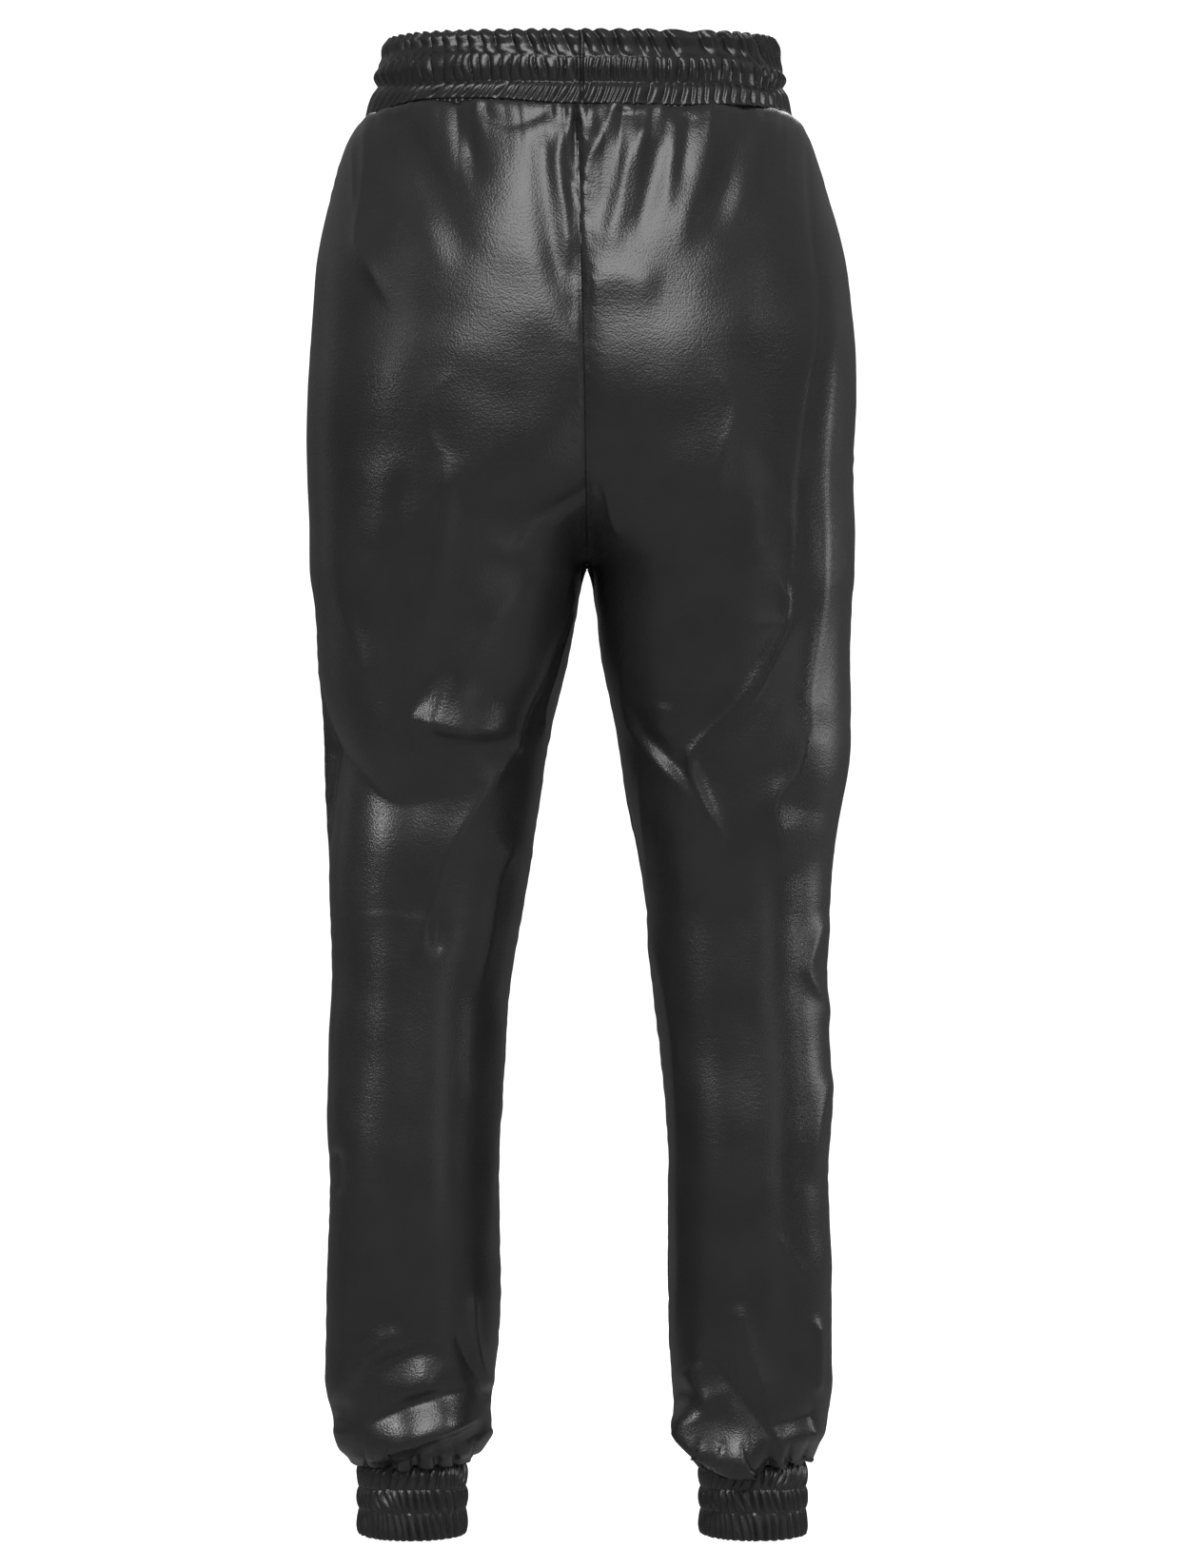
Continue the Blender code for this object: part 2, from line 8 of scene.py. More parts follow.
import bpy
import numpy as np
from mathutils import Vector
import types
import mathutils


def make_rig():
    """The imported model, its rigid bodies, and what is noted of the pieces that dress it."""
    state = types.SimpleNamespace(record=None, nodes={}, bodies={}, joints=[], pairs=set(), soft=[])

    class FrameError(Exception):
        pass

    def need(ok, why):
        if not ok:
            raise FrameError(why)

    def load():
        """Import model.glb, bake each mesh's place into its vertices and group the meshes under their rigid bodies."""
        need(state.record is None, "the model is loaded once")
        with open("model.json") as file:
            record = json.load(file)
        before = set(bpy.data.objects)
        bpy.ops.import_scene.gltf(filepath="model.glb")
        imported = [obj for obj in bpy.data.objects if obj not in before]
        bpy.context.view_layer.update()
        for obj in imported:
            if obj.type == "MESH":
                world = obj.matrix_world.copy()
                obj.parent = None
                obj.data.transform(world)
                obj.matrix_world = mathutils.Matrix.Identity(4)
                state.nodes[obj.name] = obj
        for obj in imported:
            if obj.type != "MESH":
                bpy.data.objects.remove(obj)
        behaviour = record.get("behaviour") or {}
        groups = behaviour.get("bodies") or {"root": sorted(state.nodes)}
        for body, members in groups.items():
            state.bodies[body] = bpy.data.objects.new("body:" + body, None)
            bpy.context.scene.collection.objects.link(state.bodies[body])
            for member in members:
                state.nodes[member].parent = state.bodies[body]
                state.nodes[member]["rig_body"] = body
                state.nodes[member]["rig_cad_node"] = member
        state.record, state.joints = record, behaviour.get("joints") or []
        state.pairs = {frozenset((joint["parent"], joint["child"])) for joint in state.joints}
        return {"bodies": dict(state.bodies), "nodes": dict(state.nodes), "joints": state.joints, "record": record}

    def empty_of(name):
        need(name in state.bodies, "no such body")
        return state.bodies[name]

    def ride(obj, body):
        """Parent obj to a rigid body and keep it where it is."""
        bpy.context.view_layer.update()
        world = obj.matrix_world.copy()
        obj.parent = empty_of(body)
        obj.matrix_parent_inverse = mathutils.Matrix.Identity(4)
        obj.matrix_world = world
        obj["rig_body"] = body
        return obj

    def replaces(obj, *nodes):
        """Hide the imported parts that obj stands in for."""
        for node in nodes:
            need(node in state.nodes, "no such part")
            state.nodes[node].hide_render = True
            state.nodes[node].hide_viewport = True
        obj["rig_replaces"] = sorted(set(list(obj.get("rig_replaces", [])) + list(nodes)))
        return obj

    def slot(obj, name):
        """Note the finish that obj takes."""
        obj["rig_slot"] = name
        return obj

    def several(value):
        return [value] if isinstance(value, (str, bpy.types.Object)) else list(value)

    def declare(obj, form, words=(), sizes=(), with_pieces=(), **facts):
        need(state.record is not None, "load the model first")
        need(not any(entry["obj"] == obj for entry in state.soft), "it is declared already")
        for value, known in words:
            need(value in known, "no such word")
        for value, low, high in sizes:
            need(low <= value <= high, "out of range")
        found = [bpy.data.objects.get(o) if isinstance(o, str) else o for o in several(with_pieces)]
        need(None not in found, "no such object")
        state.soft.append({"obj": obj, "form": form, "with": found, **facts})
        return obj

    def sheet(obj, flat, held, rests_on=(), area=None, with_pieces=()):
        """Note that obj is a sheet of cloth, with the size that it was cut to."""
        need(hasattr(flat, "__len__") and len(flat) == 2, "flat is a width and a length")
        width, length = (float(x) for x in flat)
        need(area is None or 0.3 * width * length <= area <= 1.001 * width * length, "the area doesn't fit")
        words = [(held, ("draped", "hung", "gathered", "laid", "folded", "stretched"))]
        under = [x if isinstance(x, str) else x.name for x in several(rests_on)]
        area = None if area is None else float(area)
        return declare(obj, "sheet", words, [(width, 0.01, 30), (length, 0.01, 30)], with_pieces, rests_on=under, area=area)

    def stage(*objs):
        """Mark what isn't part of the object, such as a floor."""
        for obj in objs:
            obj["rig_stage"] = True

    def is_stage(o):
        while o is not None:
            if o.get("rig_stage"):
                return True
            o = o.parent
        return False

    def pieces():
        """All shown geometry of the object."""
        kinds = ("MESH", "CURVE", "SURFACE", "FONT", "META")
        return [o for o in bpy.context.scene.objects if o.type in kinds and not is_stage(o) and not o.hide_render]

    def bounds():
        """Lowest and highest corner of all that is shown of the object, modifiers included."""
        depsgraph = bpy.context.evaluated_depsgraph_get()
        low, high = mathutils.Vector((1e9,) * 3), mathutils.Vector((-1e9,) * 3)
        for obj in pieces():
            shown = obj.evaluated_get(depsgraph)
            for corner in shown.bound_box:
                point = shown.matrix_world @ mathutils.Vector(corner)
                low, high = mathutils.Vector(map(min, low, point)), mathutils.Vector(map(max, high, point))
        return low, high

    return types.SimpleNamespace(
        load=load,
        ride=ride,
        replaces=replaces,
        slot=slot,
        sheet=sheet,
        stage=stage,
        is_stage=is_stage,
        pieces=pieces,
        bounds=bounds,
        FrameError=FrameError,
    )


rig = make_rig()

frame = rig.load()
cad_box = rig.bounds()

# Driving sizes, as in the solids. A place down the leg is how far it lies below the waist seam, along the side seam.
WALL = 0.0015
BAND_WALL = 0.0028
SEAM_GAP = 0.0003
WAIST_SEAM = -0.0237
BAND_BOTTOM = -0.0234
BAND_TOP = 0.0272
CUFF_TOP = -0.9060
HEM = -0.9540
CROTCH = -0.3200
CROTCH_DOWN = 0.296
NEAR_CROTCH = 0.060      # a panel keeps to its side of the centre seam until this far below the crotch
BRIDGE_WIDTH = 0.022     # the cloth spans the cleft this widely, less and less from this far above the crotch
BRIDGE_FADE = 0.070
LEAN_REACH = 0.1         # the centre seam's lean dies out over this distance
LEVEL_ROWS = 0.62        # below this place the rows of a panel run level
MOUTH_START = 0.046      # the pocket mouth: how far from the side seam it starts, and where it reaches that seam
MOUTH_DROP = 0.113
POCKET_DEPTH = 0.210
POCKET_REACH = 0.098
POCKET_INSET = 0.0033
SECTION_POINTS = 481     # points of the forms that the cloth lies on
FORM_SECTIONS = 600
FORM_POINTS = 360
FINE_POINTS = 4001       # points of a curve that is only measured along
FINE_HALF_POINTS = 2001

# The photograph: its camera, and its pixels on the upright plane through the garment's middle
CAMERA_PLACE = np.array([0.0113, -3.4, -0.461])
PHOTO_HEIGHT = 1648
PIXEL = 0.00063
ORIGIN_PIXEL = (612.0, 92.25)      # where the photograph shows the origin
SENSOR = 36.0

SIDES = {"left": -1.0, "right": 1.0}
FACES = {"back": -1.0, "front": 1.0}
MM = 0.001

OUTLINE_COLUMNS = ("down", "z", "left_outer", "left_inner", "right_inner", "right_outer")
OUTLINE = (
    (0.000, WAIST_SEAM - SEAM_GAP, 0.1462, -0.1430, -0.1430, 0.1425),
    (0.006, -0.0301, 0.1512, -0.1450, -0.1450, 0.1474),
    (0.018, -0.0414, 0.1575, -0.1480, -0.1480, 0.1531),
    (0.044, -0.0679, 0.1657, -0.1450, -0.1450, 0.1613),
    (0.107, -0.1309, 0.1764, -0.1150, -0.1150, 0.1764),
    (0.183, -0.2065, 0.1814, -0.0780, -0.0780, 0.1808),
    (0.233, -0.2569, 0.1814, -0.0470, -0.0470, 0.1796),
    (0.266, -0.2900, 0.1806, -0.0240, -0.0240, 0.1800),
    (0.286, -0.3100, 0.1804, -0.0085, -0.0085, 0.1801),
    (0.296, CROTCH, 0.1802, 0.0003, 0.0003, 0.1802),
    (0.321, -0.3451, 0.1770, 0.0060, 0.0060, 0.1783),
    (0.359, -0.3829, 0.1751, 0.0130, 0.0130, 0.1770),
    (0.397, -0.4207, 0.1720, 0.0200, 0.0203, 0.1770),
    (0.447, -0.4711, 0.1701, 0.0271, 0.0296, 0.1707),
    (0.510, -0.5341, 0.1670, 0.0378, 0.0416, 0.1644),
    (0.573, -0.5971, 0.1657, 0.0479, 0.0472, 0.1613),
    (0.649, -0.6727, 0.1676, 0.0529, 0.0548, 0.1651),
    (0.687, -0.7105, 0.1662, 0.0548, 0.0573, 0.1620),
    (0.762, -0.7861, 0.1682, 0.0536, 0.0567, 0.1638),
    (0.825, -0.8491, 0.1695, 0.0567, 0.0586, 0.1644),
    (0.850, -0.8743, 0.1657, 0.0598, 0.0605, 0.1619),
    (0.863, -0.8869, 0.1638, 0.0595, 0.0630, 0.1607),
    (0.876, -0.8988, 0.1600, 0.0655, 0.0674, 0.1556),
    (0.883, -0.9046, 0.1548, 0.0710, 0.0720, 0.1535),
    (0.887, -0.9079, 0.1525, 0.0721, 0.0733, 0.1522),
    (0.891, -0.9067, 0.1498, 0.0744, 0.0757, 0.1498),
    (0.895, -0.9047, 0.1482, 0.0762, 0.0774, 0.1482),
)
PROFILE_COLUMNS = ("down", "back", "front", "seam", "square")
PROFILE = (
    (0.000, -0.1010, 0.0980, 0.0000, 2.00),
    (0.018, -0.1080, 0.1030, 0.0000, 2.02),
    (0.044, -0.1140, 0.1070, 0.0000, 2.05),
    (0.107, -0.1250, 0.1100, 0.0000, 2.15),
    (0.176, -0.1310, 0.1080, 0.0000, 2.25),
    (0.233, -0.1275, 0.1035, 0.0000, 2.25),
    (0.296, -0.1140, 0.0980, -0.0005, 2.25),
    (0.359, -0.1025, 0.0920, -0.0010, 2.20),
    (0.447, -0.0925, 0.0840, -0.0020, 2.20),
    (0.535, -0.0820, 0.0740, -0.0040, 2.20),
    (0.611, -0.0830, 0.0620, -0.0090, 2.15),
    (0.687, -0.0870, 0.0540, -0.0150, 2.15),
    (0.762, -0.0810, 0.0520, -0.0140, 2.15),
    (0.825, -0.0750, 0.0540, -0.0110, 2.10),
    (0.863, -0.0710, 0.0490, -0.0100, 2.05),
    (0.876, -0.0680, 0.0450, -0.0100, 2.00),
    (0.883, -0.0615, 0.0390, -0.0100, 2.00),
    (0.887, -0.0567, 0.0364, -0.0100, 2.00),
    (0.891, -0.0542, 0.0342, -0.0100, 2.00),
    (0.895, -0.0522, 0.0322, -0.0100, 2.00),
)
SEAM_LEAN_COLUMNS = ("down", "shift")
SEAM_LEAN = ((0.000, -0.0035), (0.107, 0.0000), (0.200, 0.0020), (0.296, 0.0030), (0.359, 0.0015), (0.420, 0.0000))
BAND_COLUMNS = ("z", "left", "right", "back", "front")
BAND = (
    (-0.0234, 0.1449, 0.1428, 0.1000, 0.0970),
    (-0.0190, 0.1434, 0.1392, 0.0990, 0.0962),
    (-0.0060, 0.1390, 0.1362, 0.0975, 0.0955),
    (0.0000, 0.1362, 0.1338, 0.0960, 0.0945),
    (0.0055, 0.1376, 0.1350, 0.0970, 0.0955),
    (0.0120, 0.1356, 0.1338, 0.0965, 0.0950),
    (0.0175, 0.1328, 0.1318, 0.0950, 0.0935),
    (0.0225, 0.1326, 0.1314, 0.0952, 0.0938),
    (0.0272, 0.1296, 0.1290, 0.0930, 0.0918),
)
CUFF_CENTRE = {"left": (-0.1121, -0.0100), "right": (0.1128, -0.0100)}
CUFF_HALF = {"left": (0.0366, 0.0424), "right": (0.0360, 0.0418)}

# Grids. The back, which the photograph shows, has the finer one.
PANEL_ACROSS = {"back": 175, "front": 125}
ROW_SCALE = {"back": 0.860, "front": 1.215}
EDGE_CROWDING = 0.35     # the columns stand this much closer together at a panel's edges
ROW_SPACING_COLUMNS = ("down", "spacing")
ROW_SPACING = (
    (0.000, 0.0013), (0.040, 0.0020), (0.100, 0.0025), (0.300, 0.0027), (0.600, 0.0029),
    (0.800, 0.0027), (0.845, 0.0016), (0.875, 0.0008), (0.895, 0.0006),
)
BAND_AROUND = 1120
CUFF_AROUND = 440
OUTER_ROWS = 67
EDGE_ROWS = 7
INNER_ROWS = 12
POCKET_GRID = (81, 41)

# Creases on the back, as the photograph shows them. A path runs through pixels of the photograph. Left and right are
# how far the crease reaches to each side of a path that runs down, in mm; of one that runs to the right, they are
# below and above it. Height is in mm, below zero for a trough. Point is 2 for a soft crease and 1 for a sharp one.
# Fade in and out are the shares of the path over which it dies away.
CREASE_COLUMNS = ("name", "path", "left", "right", "height", "point", "fade_in", "fade_out")
BACK_CREASES = (
    ("seat seam trough",
     ((606, 112), (603, 150), (606, 210), (609, 260), (612, 330), (615, 420), (617, 520), (618, 600)),
     11, 8, -2.8, 1.6, 0.04, 0.0),
    ("right seat swell", ((606, 298), (650, 292), (700, 302)), 16, 12, 1.8, 1.9, 0.2, 0.3),
    ("seam shoulder", ((614, 112), (607, 128), (602, 146), (601, 200), (604, 250)), 4, 4, -1.0, 2.0, 0.1, 0.4),
    ("seam hollow", ((598, 250), (600, 300), (604, 360)), 10, 8, -1.6, 2.0, 0.3, 0.4),
    # left seat
    ("left hip fold", ((477, 96), (484, 130), (495, 165), (508, 200)), 9, 8, -3.4, 1.8, 0.0, 0.4),
    ("left dimple", ((499, 108), (512, 121), (533, 129), (556, 125), (582, 110)), 5, 6, -1.2, 1.7, 0.1, 0.1),
    ("left inner trough", ((572, 128), (571, 165), (575, 220), (583, 280), (588, 330)), 9, 7, -1.9, 1.9, 0.15, 0.35),
    ("left inner ridge", ((604, 120), (592, 143), (586, 164), (589, 192), (595, 222), (596, 262), (591, 302)),
     5, 5, 1.4, 1.8, 0.15, 0.35),
    ("left side line", ((371, 136), (371, 180), (372, 224)), 3, 3, 1.2, 1.4, 0.3, 0.3),
    ("left side ridge", ((387, 122), (385, 165), (381, 205), (376, 250), (386, 275), (407, 314), (418, 338)),
     5, 6, 2.2, 1.4, 0.1, 0.3),
    ("left hip trough", ((408, 112), (432, 150), (448, 180), (468, 215), (496, 285)), 13, 11, -2.8, 2.0, 0.1, 0.4),
    ("left hip swell", ((404, 165), (412, 205), (428, 250)), 8, 8, 1.2, 2.0, 0.3, 0.3),
    ("left hip swell low", ((440, 212), (452, 250), (474, 290)), 8, 8, 0.4, 2.0, 0.3, 0.3),
    # right seat
    ("right hollow", ((622, 100), (622, 122), (622, 148)), 5, 5, -2.0, 1.8, 0.0, 0.4),
    ("right hollow rim", ((650, 104), (639, 126), (631, 146), (620, 162), (614, 182), (611, 210), (611, 245),
                          (614, 290)), 4.5, 4.5, 1.5, 1.7, 0.0, 0.35),
    ("right inner valley", ((655, 112), (646, 160), (640, 200), (630, 252)), 10, 9, -2.1, 1.9, 0.05, 0.35),
    ("right ridge inner", ((684, 108), (678, 132), (660, 172), (648, 218), (637, 292)), 7, 7, 1.5, 1.8, 0.0, 0.35),
    ("right middle valley", ((694, 140), (686, 180), (678, 215), (666, 262)), 8, 8, -1.9, 1.9, 0.15, 0.35),
    ("right valley corner", ((678, 104), (679, 122), (679, 142)), 6, 6, -1.2, 1.8, 0.0, 0.4),
    ("right ridge middle", ((711, 122), (707, 160), (703, 190), (699, 236)), 6, 6, 1.3, 1.8, 0.1, 0.35),
    ("right ridge middle arm", ((688, 106), (700, 119), (711, 131)), 4, 4, 0.8, 1.8, 0.0, 0.2),
    ("right ridge middle other arm", ((736, 106), (723, 119), (711, 131)), 4, 4, 0.8, 1.8, 0.0, 0.2),
    ("right broad valley", ((724, 118), (719, 160), (714, 200)), 5, 5, -1.0, 1.8, 0.1, 0.4),
    ("right ridge broad", ((750, 106), (744, 150), (736, 185), (723, 225), (708, 280)), 10, 9, 2.0, 1.9, 0.0, 0.35),
    ("right outer valley", ((784, 108), (772, 150), (762, 195), (744, 250)), 10, 9, -2.4, 1.9, 0.0, 0.35),
    ("right ridge outer", ((808, 118), (798, 160), (780, 215), (762, 255)), 8, 8, 1.2, 1.9, 0.1, 0.35),
    ("right hip line", ((825, 122), (826, 160), (824, 205)), 3, 3, 0.7, 1.5, 0.2, 0.3),
    ("right side line", ((848, 138), (852, 228), (857, 273), (860, 319), (858, 362), (850, 420), (842, 477), (838, 520),
                         (836, 597), (832, 650)), 3, 4, -1.0, 1.6, 0.05, 0.2),
    ("right flank ridge", ((866, 250), (872, 320), (872, 380), (867, 460), (864, 560), (863, 635), (850, 711),
                           (840, 780)), 13, 8, 2.8, 1.7, 0.2, 0.1),
    # seat
    ("left seat crease", ((484, 386), (465, 400), (451, 420), (450, 448), (459, 471), (484, 493)),
     7, 4, 0.8, 1.5, 0.25, 0.35),
    ("right seat crease", ((741, 389), (763, 402), (772, 423), (769, 445), (760, 471), (755, 500), (755, 548)),
     4, 7, 0.8, 1.5, 0.25, 0.35),
    ("left groin trough", ((528, 584), (550, 553), (580, 538), (612, 522)), 4, 10, -2.6, 1.6, 0.3, 0.0),
    # left thigh
    ("left inner thigh ridge", ((600, 562), (586, 620), (574, 670), (564, 720), (554, 756)),
      34, 10, 7.5, 1.8, 0.2, 0.35),
    ("left thigh band", ((560, 600), (524, 648), (492, 688), (466, 728), (446, 758)), 9, 24, 2.4, 1.8, 0.2, 0.25),
    ("left thigh ridge", ((470, 470), (466, 540), (458, 600), (448, 660), (440, 724)), 9, 9, 3.4, 1.7, 0.2, 0.25),
    ("left thigh trough", ((424, 480), (420, 560), (428, 640)), 9, 9, -2.4, 1.8, 0.3, 0.3),
    ("left thigh faint ridge", ((348, 595), (358, 634), (382, 701), (388, 742)), 6, 6, 1.3, 1.8, 0.3, 0.3),
    ("left knee shelf", ((430, 748), (462, 764), (500, 769), (552, 768)), 6, 20, 10.0, 1.4, 0.25, 0.6),
    ("left knee trough", ((318, 772), (345, 794), (371, 820), (402, 843), (442, 843), (480, 830), (522, 806)),
     28, 20, -12.0, 1.3, 0.0, 0.4),
    ("left inseam fold", ((602, 612), (585, 655), (570, 682), (560, 720), (541, 786)), 2.5, 2.5, 2.4, 1.3, 0.1, 0.0),
    ("left inseam fold inner", ((600, 632), (588, 668), (577, 698), (571, 735), (570, 762), (576, 787)),
     2.5, 2.5, 2.4, 1.3, 0.1, 0.2),
    # left shin
    ("left shin ridge", ((541, 786), (510, 834), (479, 880), (464, 913), (454, 948), (441, 988), (438, 1032)),
     6, 8, 2.8, 1.4, 0.0, 0.3),
    ("left shin pit", ((461, 950), (460, 980), (459, 1010)), 5, 6, -2.2, 1.8, 0.35, 0.35),
    ("left shin ridge inner", ((542, 880), (525, 914), (518, 945), (513, 985), (506, 1020), (503, 1056)),
     5, 6, 2.6, 1.5, 0.1, 0.3),
    ("left shin side", ((350, 960), (352, 1050), (353, 1120), (357, 1198)), 3, 5, 1.6, 1.5, 0.2, 0.2),
    ("left shin notch", ((349, 1205), (356, 1222), (352, 1262)), 4, 5, -2.0, 1.6, 0.2, 0.3),
    ("left shin inner side", ((528, 1040), (525, 1140), (518, 1220), (516, 1320)), 5, 3, 1.4, 1.6, 0.2, 0.3),
    # right thigh and knee
    ("right groin fold", ((634, 503), (638, 525), (642, 546), (652, 570)), 3, 6, 1.8, 1.3, 0.2, 0.2),
    ("right long crease", ((815, 604), (824, 619), (827, 636), (825, 655), (802, 701), (778, 740), (735, 783),
                           (726, 802), (737, 836), (757, 875), (768, 902)), 3, 2.5, 3.4, 1.3, 0.08, 0.15),
    ("right long step", ((833, 620), (834, 655), (811, 705), (786, 746), (746, 786), (738, 802), (748, 832),
                         (768, 870)), 6, 14, -3.0, 1.8, 0.15, 0.25),
    ("right crease branch", ((825, 653), (793, 655), (758, 663)), 3, 3, 0.9, 1.4, 0.0, 0.5),
    ("right inner crease", ((658, 682), (656, 720), (659, 759), (682, 793), (720, 831), (737, 857)),
     5, 3, 1.6, 1.4, 0.15, 0.15),
    ("right inner trough", ((664, 740), (672, 764), (694, 790), (728, 822)), 3, 7, -1.8, 1.6, 0.2, 0.3),
    ("right knee line", ((671, 806), (674, 860), (679, 912), (684, 952)), 2.5, 2.5, 1.2, 1.2, 0.15, 0.2),
    ("right knee swell", ((700, 735), (692, 758), (686, 780)), 12, 12, 1.8, 2.0, 0.3, 0.3),
    ("right thigh swell", ((792, 505), (795, 550), (790, 596)), 12, 12, 1.8, 2.0, 0.3, 0.3),
    ("right knee facet", ((851, 733), (836, 804), (815, 836), (813, 862), (824, 894), (838, 922)),
     11, 16, 7.0, 1.15, 0.25, 0.3),
    # right shin
    ("right shin tuck", ((869, 958), (849, 1012), (852, 1031), (865, 1052), (871, 1086)), 4, 8, 2.5, 1.3, 0.15, 0.2),
    ("right shin side", ((874, 1122), (857, 1201), (857, 1250)), 5, 6, 1.9, 1.5, 0.2, 0.3),
    ("right shin inner side", ((681, 945), (692, 1007), (703, 1060), (711, 1140), (713, 1300), (712, 1455)),
     5, 5, 1.9, 1.5, 0.15, 0.2),
    ("right low crease", ((817, 1295), (832, 1322), (846, 1350)), 3, 4, 1.4, 1.5, 0.3, 0.3),
    # left ankle
    ("left ankle dome", ((350, 1506), (357, 1481), (372, 1458), (392, 1439), (414, 1430), (444, 1421), (482, 1425)),
     11, 5, -4.0, 1.6, 0.1, 0.2),
    ("left ankle inner trough", ((478, 1396), (490, 1426), (504, 1450), (517, 1472)), 5, 4, -2.6, 1.6, 0.2, 0.1),
    ("left ankle puff", ((366, 1536), (418, 1519), (455, 1504), (516, 1482)), 6, 15, 13.0, 1.9, 0.5, 0.35),
    ("left ankle valley", ((380, 1500), (420, 1482), (462, 1468), (505, 1458)), 5, 6, -2.0, 1.7, 0.2, 0.2),
    ("left ankle tuck", ((398, 1546), (440, 1534), (478, 1521), (512, 1503)), 5, 4, -2.2, 1.6, 0.15, 0.1),
    ("left ankle soft fold", ((400, 1474), (436, 1460), (476, 1447)), 6, 13, 4.6, 1.9, 0.45, 0.4),
    ("left ankle slant", ((421, 1392), (385, 1438), (354, 1483)), 8, 8, 2.8, 1.7, 0.2, 0.2),
    ("left ankle line", ((497, 1352), (497, 1400), (506, 1436), (519, 1462)), 4, 4, 3.0, 1.5, 0.2, 0.1),
    ("left ankle side", ((352, 1474), (354, 1500), (361, 1529)), 3, 4, 1.2, 1.5, 0.2, 0.2),
    ("left ankle corner", ((518, 1499), (500, 1516), (480, 1534)), 4, 4, 1.5, 1.5, 0.1, 0.2),
    # right ankle
    ("right ankle puff", ((714, 1462), (727, 1500), (752, 1525), (802, 1544)), 6, 14, 15.0, 1.7, 0.3, 0.2),
    ("right ankle shoulder", ((718, 1430), (734, 1458), (760, 1484)), 7, 10, 3.5, 1.8, 0.25, 0.3),
    ("right ankle ridge", ((772, 1365), (788, 1425), (811, 1478)), 6, 7, 2.8, 1.6, 0.2, 0.2),
    ("right ankle trough", ((742, 1404), (762, 1444), (788, 1480), (817, 1522)), 8, 7, -3.6, 1.7, 0.2, 0.2),
    ("right ankle side", ((858, 1382), (860, 1425), (854, 1470)), 4, 5, 2.8, 1.5, 0.2, 0.2),
    ("right ankle arc", ((810, 1502), (832, 1493), (859, 1485)), 6, 5, -2.6, 1.6, 0.2, 0.1),
    ("right ankle lobe", ((813, 1516), (837, 1512), (860, 1505)), 6, 6, 2.6, 1.7, 0.2, 0.1),
    ("right ankle inner ridge", ((722, 1498), (742, 1516), (754, 1541)), 4, 4, 1.7, 1.5, 0.1, 0.2),
)

